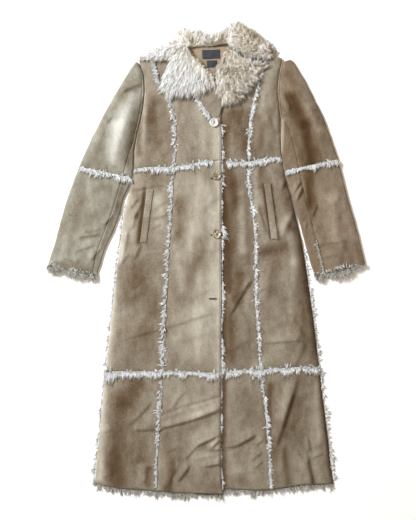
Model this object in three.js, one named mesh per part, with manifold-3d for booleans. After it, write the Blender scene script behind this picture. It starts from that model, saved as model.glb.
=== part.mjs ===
// A long shearling-look coat laid out flat on its back, front up, collar towards +Y.
// Millimetres. +X is the wearer's left, +Z is up from the surface that the coat lies on.
// The front, back and sleeves are cut in an upper, a middle and a lower row, joined along princess,
// waist and knee seams, and each seam that shows carries a strip of long fur.
import * as THREE from "three";
import { mergeVertices } from "three/addons/utils/BufferGeometryUtils.js";
import Module from "manifold-3d";

const wasm = await Module();
wasm.setup();

// Driving dimensions
const CLOTH = 3; // thickness of the bonded suede and fleece
const SEAM = 0.3; // space between two pieces that are sewn together
const OVERLAP = 3.3; // how far the buttoned edge is lifted by the front under it
const STRIP_SEAT = 0.8; // height of a fur strip's underside over the cloth it is sewn to
const FOLD_RADIUS = 3.35; // outside radius of the fold along a sleeve's edge
const SLEEVE_CROWN = 2.2; // how much a sleeve swells between its folds
const FACING = 2; // thickness of the turned-back lapels and of the undercollar
const LINING = 2;
const NECK_MARGIN = 3; // the neck lining shows this far inside the edges of the two fronts
const BUTTON_RADIUS = 11.5;
const BUTTON_HEIGHT = 4.2;
const BUTTONHOLE = { length: 19, width: 1.2 };
const WELT_THICKNESS = 2.2;
const LABEL_THICKNESS = 0.8;
const BORDER_GAP = 1; // between the cloth's edge and the fur that reaches past it
const HEM_FUR = 17;
const CUFF_FUR = 17;
const SIDE_FUR = 8.5;

// Seam lines that run down the body. Each row is one height on the coat.
const BODY = columns(
  "y rightSide rightPrincess edge leftPrincess leftSide",
  [559, -181, -148, -59, 151, 199],
  [520, -181, -138, -35, 144, 192],
  [481, -166, -127, 12, 136, 183],
  [442, -164, -111, 37, 126, 179],
  [403, -167, -93, 38, 116, 183],
  [364, -174, -85, 32, 109, 188],
  [325, -184, -83, 36, 106, 187],
  [286, -191, -85, 36, 104, 188],
  [247, -191, -87, 35, 104, 193],
  [208, -192, -91, 35, 103, 202],
  [169, -207, -94, 35, 108, 214],
  [117, -220, -96, 35, 117, 227],
  [52, -226, -100, 35, 123, 243],
  [-26, -237, -105, 36, 123, 256],
  [-104, -246, -109, 36, 123, 267],
  [-182, -255, -113, 34, 130, 277],
  [-289, -265, -117, 35, 135, 290],
  [-364, -273, -123, 34, 147, 299],
  [-442, -281, -128, 33, 154, 309],
  [-520, -289, -133, 33, 159, 318],
  [-598, -297, -134, 37, 162, 328],
);

// The left front's own edge, under the buttoned one, and its roll line above the top button.
const UNDERLAP = columns(
  "y x",
  [571, 76],
  [556, 73],
  [515, 47],
  [468, 31],
  [437, 26],
  [403, 16],
  [364, -3],
  [355, -2],
  [-620, -2],
);

// Seam lines that run across: shoulder and neck, waist, knee and hem.
const SHOULDER = columns(
  "x y",
  [-185, 516],
  [-143, 533],
  [-99, 549],
  [-55, 562],
  [36, 562],
  [73, 569],
  [109, 556],
  [151, 541],
  [198, 520],
);
const RIGHT_WAIST = columns(
  "x y",
  [-195, 234],
  [-153, 240],
  [-94, 240],
  [-65, 244],
  [-21, 253],
  [13, 257],
  [39, 259],
);
const LEFT_WAIST = columns(
  "x y",
  [-10, 259],
  [36, 259],
  [57, 253],
  [107, 253],
  [143, 262],
  [195, 267],
);
const RIGHT_KNEE = columns("x y", [-275, -290], [-73, -290], [39, -294]);
const LEFT_KNEE = columns(
  "x y",
  [-10, -295],
  [36, -294],
  [78, -286],
  [135, -286],
  [177, -282],
  [234, -279],
  [294, -279],
);
const RIGHT_HEM = columns(
  "x y",
  [-307, -573],
  [-265, -586],
  [-213, -593],
  [-148, -597],
  [-94, -603],
  [47, -606],
);
const LEFT_HEM = columns(
  "x y",
  [-10, -591],
  [44, -593],
  [133, -597],
  [190, -591],
  [247, -582],
  [335, -580],
);

// Each sleeve lies as a flattened tube. A row joins a point of its outer fold to one of its inner fold.
const RIGHT_SLEEVE = {
  side: -1,
  outer: columns(
    "y x",
    [512, -189],
    [494, -203],
    [468, -218],
    [416, -250],
    [364, -278],
    [312, -304],
    [260, -328],
    [208, -348],
    [156, -367],
    [104, -382],
    [52, -395],
    [0, -413],
    [-20, -417],
  ),
  inner: columns(
    "y x",
    [517, -182],
    [481, -167.5],
    [442, -165.5],
    [403, -168.5],
    [364, -175.5],
    [325, -185.5],
    [286, -192.5],
    [239, -194],
    [216, -197],
    [187, -206],
    [159, -220],
    [124, -227],
    [78, -244],
    [52, -257],
    [26, -268],
    [0, -276],
    [-45, -290],
  ),
  frontSeam: columns(
    "y x",
    [325, -187],
    [276, -205],
    [229, -218],
    [164, -237],
    [124, -249],
    [55, -276],
    [18, -289],
    [-45, -301],
  ),
  upper: columns(
    "outerY innerY",
    [508, 505],
    [492, 484],
    [468, 455],
    [436, 424],
    [404, 392],
    [364, 348],
    [312, 298],
    [274, 252],
    [242.2, 213.2],
  ),
  lower: columns(
    "outerY innerY",
    [241.8, 212.8],
    [200, 176],
    [150, 126],
    [100, 78],
    [52, 30],
    [16, -8],
    [-14, -41],
  ),
};
const LEFT_SLEEVE = {
  side: 1,
  outer: columns(
    "y x",
    [526, 205],
    [520, 218],
    [494, 234],
    [468, 250],
    [442, 263],
    [416, 276],
    [364, 302],
    [312, 320],
    [260, 338],
    [208, 351],
    [156, 364],
    [104, 380],
    [52, 393],
    [0, 406],
    [-26, 409],
  ),
  inner: columns(
    "y x",
    [520, 192.9],
    [481, 183.9],
    [442, 180],
    [403, 183.9],
    [364, 188.8],
    [325, 188.6],
    [286, 189.2],
    [247, 194],
    [208, 204],
    [169, 217.5],
    [117, 232],
    [55, 249],
    [28, 255],
    [-45, 277],
  ),
  frontSeam: columns(
    "y x",
    [373, 192],
    [337, 211],
    [283, 226],
    [245, 234],
    [207, 242],
    [158, 253],
    [100, 268],
    [62, 278],
    [-45, 305],
  ),
  upper: columns(
    "outerY innerY",
    [520, 512],
    [500, 487],
    [474, 458],
    [442, 424],
    [406, 390],
    [366, 350],
    [330, 312],
    [296, 268],
    [261.2, 230.2],
  ),
  lower: columns(
    "outerY innerY",
    [260.8, 229.8],
    [222, 190],
    [172, 140],
    [122, 90],
    [74, 44],
    [26, -2],
    [-11, -40],
  ),
};

// The largest folds of the fronts: a soft ridge from one point to another.
const FOLDS = rows(
  "x1 y1 x2 y2 height width",
  [-125, -406, -20, -362, 2.2, 24],
  [-198, -437, -143, -413, 1.6, 20],
  [-229, -192, -40, -140, 1.2, 22],
  [-205, 155, -168, 185, 1.4, 22],
  [-150, 20, -60, 60, 1.2, 40],
  [-60, 300, -70, 350, 1.2, 40],
  [270, -200, 237, -276, 1.8, 22],
  [226, -299, 172, -491, 2.2, 24],
  [148, -216, 262, -195, 1.2, 22],
  [185, 65, 229, 143, 2.2, 28],
  [188, 200, 214, 160, 1.4, 22],
  [150, 300, 140, 350, 1.2, 40],
);

// Lapels, as rows from the edge at the neck to the outer edge.
const RIGHT_LAPEL_FACING = rows(
  "neckX neckY outerX outerY",
  [28, 370, 12, 367],
  [36, 399, -6, 391],
  [36, 424, -25, 418],
  [34, 449, -98, 438],
  [11, 479, -106, 459],
  [-23, 506, -94, 489],
  [-57, 539, -82, 516],
);
const RIGHT_LAPEL_FUR = rows(
  "neckX neckY outerX outerY",
  [-22, 423, -104, 432],
  [10, 441, -115, 442],
  [33, 458, -117, 454],
  [9, 483, -104, 474],
  [-25, 510, -93, 498],
  [-58, 541, -82, 518],
);
const LEFT_LAPEL_FACING = rows(
  "neckX neckY outerX outerY",
  [43, 405, 50, 403],
  [44, 430, 84, 428],
  [41, 452, 108, 455],
  [32, 469, 134, 479],
  [33, 489, 152, 497],
  [50, 519, 140, 508],
  [64, 543, 94, 520],
);
const LEFT_LAPEL_FUR = rows(
  "neckX neckY outerX outerY",
  [42, 401, 52, 399],
  [42, 428, 84, 422],
  [39, 451, 106, 447],
  [30, 468, 136, 475],
  [31, 489, 158, 496],
  [48, 520, 145, 511],
  [62, 546, 93, 521],
);

// The collar, as rows from its inner edge at the neck to its outer edge, from right to left.
const COLLAR = rows(
  "innerX innerY outerX outerY",
  [-183, 522, -185, 526],
  [-160, 520, -170, 548],
  [-130, 521, -140, 568],
  [-100, 523, -106, 585],
  [-76, 530, -75, 601],
  [-60, 546, -54, 590],
  [-48, 550, -36, 588],
  [-30, 553, -22, 590],
  [10, 554, 10, 589],
  [44, 559, 36, 593],
  [68, 562, 62, 606],
  [84, 546, 80, 619],
  [97, 530, 102, 604],
  [118, 526, 128, 587],
  [146, 526, 158, 569],
  [170, 527, 187, 554],
  [186, 530, 193, 540],
);
const COLLAR_PARTS = { right_leaf: [0, 4], back: [4, 11], left_leaf: [11, 16] };
const COLLAR_LEVELS = columns("x base", [-48, 6.6], [-30, 3.4], [40, 3.4], [68, 6.6]);
const UNDERCOLLAR_SHARE = 0.6; // the part of the collar's width that the undercollar backs

// Small pieces
const WELTS = rows(
  "name topX topY bottomX bottomY width",
  ["right_pocket_welt", -158, 183, -176, 45, 17],
  ["left_pocket_welt", 145.5, 197, 164, 53, 17],
);
const BUTTONS = rows(
  "name x y tilt",
  ["button_top", 15.5, 356, 5],
  ["button_middle", 21.5, 219, 0],
  ["button_lower", 22, 67.5, 0],
);
const BUTTONHOLES = rows("x y", [8, 351], [8, 211], [8, 64.5], [12, -100.5]);
const LABELS = rows(
  "name x y width height turn",
  ["neck_label", 8, 533.5, 46, 23, 2],
  ["size_tag", 10, 508.5, 26, 18, 1.5],
);

// Reads rows of numbers into one list for each named column, keyed by the first name.
function columns(names, ...table) {
  const keys = names.split(" ");
  return Object.fromEntries(keys.map((key, i) => [key, table.map((row) => row[i])]));
}

// Reads rows into objects with the named fields.
function rows(names, ...table) {
  const keys = names.split(" ");
  return table.map((row) => Object.fromEntries(keys.map((key, i) => [key, row[i]])));
}

function mix(a, b, share) {
  return a + (b - a) * share;
}

function clamp01(value) {
  return Math.min(1, Math.max(0, value));
}

function smooth(low, high, value) {
  const s = clamp01((value - low) / (high - low));
  return s * s * (3 - 2 * s);
}

// A line through two columns of a table, rising or falling, straight on past its ends.
function line(keys, values) {
  const rising = keys[keys.length - 1] > keys[0];
  const at = rising ? keys : [...keys].reverse();
  const to = rising ? values : [...values].reverse();
  return (key) => {
    let i = 1;
    while (i < at.length - 1 && key > at[i]) i += 1;
    return mix(to[i - 1], to[i], (key - at[i - 1]) / (at[i] - at[i - 1]));
  };
}

// A wavering number from -1 to 1 that depends only on its place in a row.
function waver(index, seed) {
  const raw = Math.sin(index * 12.9898 + seed * 78.233) * 43758.5453;
  return 2 * (raw - Math.floor(raw)) - 1;
}

// One closed wall between two grids of points with the same rows and columns.
function wall(outer, inner) {
  const down = outer.length;
  const across = outer[0].length;
  const points = [...outer.flat(), ...inner.flat()];
  const faces = [];
  const quad = (a, b, c, d) => faces.push(a, b, c, a, c, d);
  const out = (j, i) => j * across + i;
  const back = (j, i) => down * across + out(j, i);
  for (let j = 0; j < down - 1; j += 1) {
    for (let i = 0; i < across - 1; i += 1) {
      quad(out(j, i), out(j, i + 1), out(j + 1, i + 1), out(j + 1, i));
      quad(back(j, i), back(j + 1, i), back(j + 1, i + 1), back(j, i + 1));
    }
  }
  for (let i = 0; i < across - 1; i += 1) {
    quad(out(0, i), back(0, i), back(0, i + 1), out(0, i + 1));
    quad(out(down - 1, i), out(down - 1, i + 1), back(down - 1, i + 1), back(down - 1, i));
  }
  for (let j = 0; j < down - 1; j += 1) {
    quad(out(j, 0), out(j + 1, 0), back(j + 1, 0), back(j, 0));
    quad(out(j, across - 1), back(j, across - 1), back(j + 1, across - 1), out(j + 1, across - 1));
  }
  return facingOut(points, faces);
}

// A geometry from points and faces, turned the other way where its faces point in.
function facingOut(points, faces) {
  const corner = points.map((p) => new THREE.Vector3(...p));
  let volume = 0;
  for (let i = 0; i < faces.length; i += 3) {
    const [a, b, c] = [corner[faces[i]], corner[faces[i + 1]], corner[faces[i + 2]]];
    volume += a.dot(b.clone().cross(c));
  }
  const index = volume < 0 ? [...faces].reverse() : faces;
  const geometry = new THREE.BufferGeometry();
  geometry.setAttribute("position", new THREE.Float32BufferAttribute(points.flat(), 3));
  geometry.setIndex(index);
  geometry.computeVertexNormals();
  return geometry;
}

function solidOf(geometry) {
  const bare = geometry.clone();
  bare.deleteAttribute("normal");
  bare.deleteAttribute("uv");
  const merged = mergeVertices(bare, 1e-4);
  const vertProperties = merged.attributes.position.array;
  const triVerts = new Uint32Array(merged.index.array);
  return new wasm.Manifold(new wasm.Mesh({ numProp: 3, vertProperties, triVerts }));
}

// The geometry of a piece less each of the cutters.
function cut(geometry, cutters) {
  const made = cutters.reduce((solid, cutter) => solid.subtract(solidOf(cutter)), solidOf(geometry));
  const mesh = made.getMesh();
  const result = new THREE.BufferGeometry();
  result.setAttribute("position", new THREE.Float32BufferAttribute(mesh.vertProperties, 3));
  result.setIndex([...mesh.triVerts]);
  result.computeVertexNormals();
  return result;
}

// Materials
const suede = { color: 0xb39f7f, roughness: 0.92, metalness: 0 };
const suedeInside = { color: 0xa48d6c, roughness: 0.9, metalness: 0 };
const fur = { color: 0xe9e2d2, roughness: 0.95, metalness: 0 };
const horn = { color: 0x8b7c5c, roughness: 0.45, metalness: 0 };
const pearl = { color: 0xd8d4cb, roughness: 0.35, metalness: 0 };
const navyTape = { color: 0x222a36, roughness: 0.8, metalness: 0 };

const coat = new THREE.Group();

function add(name, geometry, finish) {
  const mesh = new THREE.Mesh(geometry, new THREE.MeshStandardMaterial(finish));
  mesh.name = name;
  coat.add(mesh);
  return mesh;
}

// The height of the folds over a point, flat under the buttons, along the underlap and by the collar.
function relief(x, y) {
  const besideEdge = x < 0 ? 1 - smooth(-45, -22, x) : smooth(52, 84, x);
  const belowCollar = 1 - smooth(335, 395, y);
  let height = 0;
  for (const fold of FOLDS) {
    const [dx, dy] = [fold.x2 - fold.x1, fold.y2 - fold.y1];
    const along = ((x - fold.x1) * dx + (y - fold.y1) * dy) / (dx * dx + dy * dy);
    const share = clamp01(along);
    const away = Math.hypot(x - fold.x1 - share * dx, y - fold.y1 - share * dy) / fold.width;
    height += fold.height * Math.exp(-away * away);
  }
  return Math.min(height, 2.8) * besideEdge * belowCollar;
}

// Body panels
const rightSide = line(BODY.y, BODY.rightSide);
const rightPrincess = line(BODY.y, BODY.rightPrincess);
const frontEdge = line(BODY.y, BODY.edge);
const leftPrincess = line(BODY.y, BODY.leftPrincess);
const leftSide = line(BODY.y, BODY.leftSide);
const underlap = line(UNDERLAP.y, UNDERLAP.x);
const shoulder = line(SHOULDER.x, SHOULDER.y);
const crossSeams = {
  right: [RIGHT_HEM, RIGHT_KNEE, RIGHT_WAIST].map((seam) => line(seam.x, seam.y)).concat(shoulder),
  left: [LEFT_HEM, LEFT_KNEE, LEFT_WAIST].map((seam) => line(seam.x, seam.y)).concat(shoulder),
};
const RAMP = { start: 0.49, end: 0.65 }; // where the buttoned front climbs over the one below
const EVEN = [0, 0.25, 0.5, 0.75, 1];
const OVER_EDGE = [0, 0.24, RAMP.start, RAMP.end, 0.82, 1];

// How high the right centre panel is lifted over the left one. It comes down again beside the neck.
function liftAt(x, y) {
  const share = (x - rightPrincess(y)) / (frontEdge(y) - rightPrincess(y));
  const ramp = clamp01((share - RAMP.start) / (RAMP.end - RAMP.start));
  return OVERLAP * ramp * (1 - smooth(470, 525, y));
}

function rightUnderside(x, y) {
  const lift = x > rightPrincess(y) && x <= frontEdge(y) + 1 ? liftAt(x, y) : 0;
  return CLOTH + SEAM + relief(x, y) + lift;
}

function leftUnderside(x, y) {
  return CLOTH + SEAM + relief(x, y);
}

function rightTop(x, y) {
  return rightUnderside(x, y) + CLOTH;
}

function leftTop(x, y) {
  return leftUnderside(x, y) + CLOTH;
}

// A grid of plan points between two lines that run down and two that run across.
function planGrid({ left, right, bottom, top, shares, steps }) {
  const grid = [];
  for (let j = 0; j <= steps; j += 1) {
    grid.push(shares.map((u) => {
      let [x, y] = [0, mix(bottom(0), top(0), j / steps)];
      for (let pass = 0; pass < 30; pass += 1) {
        x = mix(left(y) + SEAM / 2, right(y) - SEAM / 2, u);
        y = mix(y, mix(bottom(x) + SEAM / 2, top(x) - SEAM / 2, j / steps), 0.7);
      }
      return [x, y];
    }));
  }
  return grid;
}

function clothPanel(outline, underside) {
  const plan = planGrid(outline);
  const low = plan.map((row) => row.map(([x, y]) => [x, y, underside(x, y)]));
  const high = low.map((row) => row.map(([x, y, z]) => [x, y, z + CLOTH]));
  return wall(high, low);
}

const ROWS = rows("name bottom steps", ["lower", 0, 9], ["middle", 1, 13], ["upper", 2, 9]);

function buttonholeCutters() {
  return BUTTONHOLES.map(({ x, y }) => {
    const slit = new THREE.BoxGeometry(BUTTONHOLE.length, BUTTONHOLE.width, 4 * CLOTH);
    return slit.translate(x, y, CLOTH + SEAM + OVERLAP + CLOTH / 2);
  });
}

function addFronts() {
  const cutters = buttonholeCutters();
  for (const { name, bottom, steps } of ROWS) {
    const right = { bottom: crossSeams.right[bottom], top: crossSeams.right[bottom + 1], steps };
    const left = { bottom: crossSeams.left[bottom], top: crossSeams.left[bottom + 1], steps };
    const sideRight = { ...right, left: rightSide, right: rightPrincess, shares: EVEN };
    const centreRight = { ...right, left: rightPrincess, right: frontEdge, shares: OVER_EDGE };
    const centreLeft = { ...left, left: underlap, right: leftPrincess, shares: EVEN };
    const sideLeft = { ...left, left: leftPrincess, right: leftSide, shares: EVEN };
    const centre = clothPanel(centreRight, rightUnderside);
    add(`right_front_${name}_side`, clothPanel(sideRight, leftUnderside), suede);
    add(`right_front_${name}_centre`, name === "lower" ? centre : cut(centre, cutters), suede);
    add(`left_front_${name}_centre`, clothPanel(centreLeft, leftUnderside), suede);
    add(`left_front_${name}_side`, clothPanel(sideLeft, leftUnderside), suede);
  }
}

// The back lies flat on the surface, cut along the same heights as the fronts.
function addBack() {
  const join = (right, left) => (x) => mix(right(x), left(x), smooth(-60, 20, x));
  const across = crossSeams.right.map((seam, i) => join(seam, crossSeams.left[i]));
  const shares = [0, 0.17, 0.34, 0.5, 0.62, 0.75, 0.87, 1];
  for (const { name, bottom, steps } of ROWS) {
    const outline = { left: rightSide, right: leftSide, bottom: across[bottom], top: across[bottom + 1] };
    add(`back_${name}`, clothPanel({ ...outline, shares, steps }, () => 0), suede);
  }
}

// Sleeves

// One station of a sleeve: its two folds in plan, its width and where the front seam crosses it.
function station(sleeve, outerY, innerY) {
  const outer = [line(sleeve.outer.y, sleeve.outer.x)(outerY), outerY];
  const inner = [line(sleeve.inner.y, sleeve.inner.x)(innerY), innerY];
  const width = Math.hypot(inner[0] - outer[0], inner[1] - outer[1]);
  const seamX = line(sleeve.frontSeam.y, sleeve.frontSeam.x);
  let share = 1;
  for (let pass = 0; pass < 20; pass += 1) {
    const y = mix(outer[1], inner[1], share);
    share = (seamX(y) - outer[0]) / (inner[0] - outer[0]);
  }
  const seam = Math.min(share * width, width - FOLD_RADIUS - 1.5);
  const back = Math.max(FOLD_RADIUS + 0.5, 0.3 * width);
  return { outer, inner, width, seam, back };
}

function placeOn({ outer, inner, width }, distance, height) {
  const share = distance / width;
  return [mix(outer[0], inner[0], share), mix(outer[1], inner[1], share), height];
}

function crown(share) {
  return SLEEVE_CROWN * Math.sin(Math.PI * clamp01(share)) ** 0.8;
}

function sleeveTop(place, distance) {
  return 2 * FOLD_RADIUS + crown(distance / place.width);
}

// Points round a fold at distance 0, from the underside to the top, on the given radius.
function foldArc(radius) {
  return [0.25, 0.5, 0.75].map((turn) => [
    FOLD_RADIUS - radius * Math.sin(Math.PI * turn),
    FOLD_RADIUS - radius * Math.cos(Math.PI * turn),
  ]);
}

// The upper sleeve wraps the outer fold, from its underside seam over the top to the front seam.
function upperSection(place, outside) {
  const radius = outside ? FOLD_RADIUS : FOLD_RADIUS - CLOTH;
  const low = outside ? 0 : CLOTH;
  const top = (d) => sleeveTop(place, d) - (outside ? 0 : CLOTH);
  const flat = [0, 0.22, 0.48, 0.74, 1].map((s) => mix(FOLD_RADIUS, place.seam - SEAM / 2, s));
  return [
    [place.back - SEAM / 2, low],
    [FOLD_RADIUS, low],
    ...foldArc(radius),
    ...flat.map((d) => [d, top(d)]),
  ];
}

// The under sleeve wraps the inner fold.
function underSection(place, outside) {
  const radius = outside ? FOLD_RADIUS : FOLD_RADIUS - CLOTH;
  const low = outside ? 0 : CLOTH;
  const top = (d) => sleeveTop(place, d) - (outside ? 0 : CLOTH);
  const flat = [0, 0.5, 1].map((s) => mix(place.width - FOLD_RADIUS, place.seam + SEAM / 2, s));
  return [
    [place.back + SEAM / 2, low],
    [mix(place.back, place.width, 0.5), low],
    [place.width - FOLD_RADIUS, low],
    ...foldArc(radius).map(([d, z]) => [place.width - d, z]),
    ...flat.map((d) => [d, top(d)]),
  ];
}

function sleevePiece(sleeve, heights, section) {
  const places = heights.outerY.map((outerY, i) => station(sleeve, outerY, heights.innerY[i]));
  const skin = (outside) => places.map((place) =>
    section(place, outside).map(([d, z]) => placeOn(place, d, z)));
  return wall(skin(true), skin(false));
}

function addSleeves() {
  for (const [side, sleeve] of [["right", RIGHT_SLEEVE], ["left", LEFT_SLEEVE]]) {
    for (const part of ["upper", "lower"]) {
      add(`${side}_sleeve_top_${part}`, sleevePiece(sleeve, sleeve[part], upperSection), suede);
      add(`${side}_sleeve_under_${part}`, sleevePiece(sleeve, sleeve[part], underSection), suede);
    }
  }
}

// Fur

const STRIP_SHARES = [0, 0.45, 1];

// A fur strip between two edges in plan, thick along its root and thin at its ragged tips.
function furStrip({ root, tip, steps, seat, heights, rag = 0 }) {
  const low = [];
  const high = [];
  for (let j = 0; j <= steps; j += 1) {
    const along = j / steps;
    const [rx, ry] = root(along);
    const [tx, ty] = tip(along);
    const reach = 1 - rag * (j % 2) * (0.7 + 0.3 * waver(j, 3));
    const fade = 0.55 + 0.45 * smooth(0, 0.08, Math.min(along, 1 - along));
    const row = STRIP_SHARES.map((s) => [mix(rx, tx, s * reach), mix(ry, ty, s * reach)]);
    low.push(row.map(([x, y], i) => [x, y, seat(x, y, STRIP_SHARES[i], along)]));
    high.push(low[j].map(([x, y, z], i) => [x, y, z + heights[i] * fade]));
  }
  return wall(high, low);
}

const SEAM_FUR = [4, 8, 2];
const HANGING_FUR = [6, 10, 2];
const SIDE_EDGE_FUR = [6, 6.5, 2.5];
const BORDER_FUR = [8, 9, 2.5];
const VENT_FUR = [3, 4.5, 1.5];
const TUFT_FUR = [2.4, 3.6, 1.4];
const WAIST_HANG = 18;
const KNEE_HANG = 19;

function addPrincessFur() {
  const spans = rows(
    "name seamBelow yBelow seamAbove yAbove hangAbove steps",
    ["lower", 0, -598, 1, -289, KNEE_HANG, 12],
    ["middle", 1, -289, 2, 240, WAIST_HANG, 18],
  );
  const sides = [
    { side: "right", princess: rightPrincess, seams: crossSeams.right, top: rightTop, from: -1, to: -12 },
    { side: "left", princess: leftPrincess, seams: crossSeams.left, top: leftTop, from: -3, to: 9.5 },
  ];
  for (const { side, princess, seams, top, from, to } of sides) {
    const edge = (low, high, offset) => (t) => {
      const y = mix(low, high, t);
      return [princess(y) + offset, y];
    };
    const seat = (x, y) => top(x, y) + STRIP_SEAT;
    for (const { name, seamBelow, yBelow, seamAbove, yAbove, hangAbove, steps } of spans) {
      const low = seams[seamBelow](princess(yBelow)) + (seamBelow ? 3 : 6);
      const high = seams[seamAbove](princess(yAbove)) - hangAbove - 3;
      const shape = { root: edge(low, high, from), tip: edge(low, high, to), steps, seat };
      add(`${side}_princess_fur_${name}`, furStrip({ ...shape, heights: SEAM_FUR, rag: 0.3 }), fur);
    }
    const low = seams[2](princess(250)) + 4;
    const high = side === "right" ? 427 : 466;
    const shape = { root: edge(low, high, from), tip: edge(low, high, to), steps: 10, seat };
    add(`${side}_princess_fur_upper`, furStrip({ ...shape, heights: SEAM_FUR, rag: 0.3 }), fur);
  }
}

// Fur hanging from a seam that runs across, with its root on the seam line.
function addCrossFur() {
  const spans = rows(
    "name seam from to hang steps",
    ["right_waist_fur", 2, -187, 14, WAIST_HANG, 18],
    ["right_knee_fur", 1, -262, 32, KNEE_HANG, 24],
    ["left_waist_fur", 2, 49, 188, WAIST_HANG, 14],
    ["left_knee_fur", 1, 50, 286, KNEE_HANG, 20],
  );
  for (const { name, seam, from, to, hang, steps } of spans) {
    const [seams, top] = name.startsWith("right")
      ? [crossSeams.right, rightTop]
      : [crossSeams.left, leftTop];
    const edge = (drop) => (t) => {
      const x = mix(from, to, t);
      return [x, seams[seam](x) - drop];
    };
    const seat = (x, y) => top(x, y) + STRIP_SEAT;
    const shape = { root: edge(-1), tip: edge(hang), steps, seat, heights: HANGING_FUR, rag: 0.25 };
    add(name, furStrip(shape), fur);
  }
}

// Fur that reaches past the cloth and lies on the surface: sides, hem and cuffs.
function addBorderFur() {
  const ground = () => 0;
  const sides = [
    { name: "right_side_fur", side: rightSide, out: -1, high: 150, low: -572 },
    { name: "left_side_fur", side: leftSide, out: 1, high: 30, low: -576 },
  ];
  for (const { name, side, out, high, low } of sides) {
    const edge = (gap, growth) => (t) => {
      const y = mix(low, high, t);
      return [side(y) + out * (gap + growth * (1 - 0.6 * smooth(0.85, 1, t))), y];
    };
    const shape = { root: edge(0.6, 0), tip: edge(0.6, SIDE_FUR), steps: 22, seat: ground };
    add(name, furStrip({ ...shape, heights: SIDE_EDGE_FUR, rag: 0.35 }), fur);
  }
  const hems = [
    { name: "right_hem_fur", seam: crossSeams.right[0], from: -295, to: 36, steps: 24 },
    { name: "left_hem_fur", seam: crossSeams.left[0], from: 38, to: 325, steps: 20 },
  ];
  for (const { name, seam, from, to, steps } of hems) {
    const edge = (drop) => (t) => {
      const x = mix(from, to, t);
      return [x, seam(x) - drop];
    };
    const shape = { root: edge(BORDER_GAP), tip: edge(HEM_FUR), steps, seat: ground };
    add(name, furStrip({ ...shape, heights: BORDER_FUR, rag: 0.3 }), fur);
  }
}

// A point on the lower half of a sleeve, counted in stations from the elbow seam down.
function onLowerSleeve(sleeve, index, share) {
  const { outerY, innerY } = sleeve.lower;
  const i = Math.min(Math.floor(index), outerY.length - 2);
  const [outerHeight, innerHeight] = [outerY, innerY].map((y) => mix(y[i], y[i + 1], index - i));
  const place = station(sleeve, outerHeight, innerHeight);
  const distance = share * place.width;
  return { place, point: placeOn(place, distance, sleeveTop(place, distance)) };
}

function addSleeveFur() {
  for (const [side, sleeve] of [["right", RIGHT_SLEEVE], ["left", LEFT_SLEEVE]]) {
    const margin = 0.03;
    const across = (t) => mix(margin, 1 - margin, t);
    const edge = (index) => (t) => onLowerSleeve(sleeve, index, across(t)).point.slice(0, 2);
    const seat = (x, y, s, t) => onLowerSleeve(sleeve, 0, across(t)).point[2] + STRIP_SEAT;
    const elbow = { root: edge(0.02), tip: edge(0.47), steps: 12, seat, heights: HANGING_FUR };
    add(`${side}_elbow_fur`, furStrip({ ...elbow, rag: 0.25 }), fur);

    const last = sleeve.lower.outerY.length - 1;
    const cuffLine = (drop) => (t) => {
      const [x, y] = onLowerSleeve(sleeve, last, mix(0.01, 0.99, t)).point;
      return [x + sleeve.side * 0.25 * drop, y - drop];
    };
    const cuff = { root: cuffLine(SEAM), tip: cuffLine(CUFF_FUR), steps: 12, seat: () => 0 };
    add(`${side}_cuff_fur`, furStrip({ ...cuff, heights: BORDER_FUR, rag: 0.3 }), fur);
  }
}

// The white fur that shows through the open vent at the end of the left sleeve's front seam.
function addVentFur() {
  const from = 4.3;
  const to = 5.95;
  const at = (t) => mix(from, to, t);
  const edge = (offset) => (t) => {
    const { place } = onLowerSleeve(LEFT_SLEEVE, at(t), 0);
    return placeOn(place, place.seam + offset, 0).slice(0, 2);
  };
  const seat = (x, y, s, t) => {
    const { place } = onLowerSleeve(LEFT_SLEEVE, at(t), 0);
    return sleeveTop(place, place.seam - 9 + 9 * s) + STRIP_SEAT;
  };
  const shape = { root: edge(1), tip: edge(-8), steps: 8, seat, heights: VENT_FUR };
  add("left_cuff_vent_fur", furStrip({ ...shape, rag: 0.3 }), fur);
}

// Tufts that stick out from under the buttoned edge, lying on the left front.
function addFrontEdgeFur() {
  const edge = (offset) => (t) => {
    const y = mix(-590, 352, t);
    const thin = 1 - 0.45 * smooth(-290, -420, y);
    return [frontEdge(y) + 0.7 + offset * thin, y];
  };
  const seat = (x, y) => leftTop(x, y) + STRIP_SEAT;
  const shape = { root: edge(0), tip: edge(9), steps: 30, seat, heights: TUFT_FUR };
  add("front_edge_fur", furStrip({ ...shape, rag: 0.4 }), fur);
}

// Lapels and collar

// How high the right lapel's facing lies: it climbs one step before the front under it does.
function rightLapelSeat(x, y) {
  const share = (x - rightPrincess(y)) / (frontEdge(y) - rightPrincess(y));
  return 2 * CLOTH + 2 * SEAM + 0.2 + OVERLAP * clamp01((share - 0.22) / 0.25);
}

function leftLapelSeat() {
  return 2 * CLOTH + 2 * SEAM + 0.2;
}

const LAPEL_SHARES = [0, 0.12, 0.35, 0.65, 0.88, 1];
const LAPEL_FUR_HEIGHT = [7, 13, 19, 19, 14, 5];

// A grid across the rows of a table, from its first edge to its second.
function tableGrid(table, first, second, shares) {
  return table.map((row) => shares.map((s) => [
    mix(row[`${first}X`], row[`${second}X`], s),
    mix(row[`${first}Y`], row[`${second}Y`], s),
  ]));
}

function facing(table, seat) {
  const plan = tableGrid(table, "neck", "outer", [0, 0.2, 0.4, 0.6, 0.8, 1]);
  const low = plan.map((row) => row.map(([x, y]) => [x, y, seat(x, y)]));
  const high = low.map((row) => row.map(([x, y, z]) => [x, y, z + FACING]));
  return wall(high, low);
}

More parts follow.
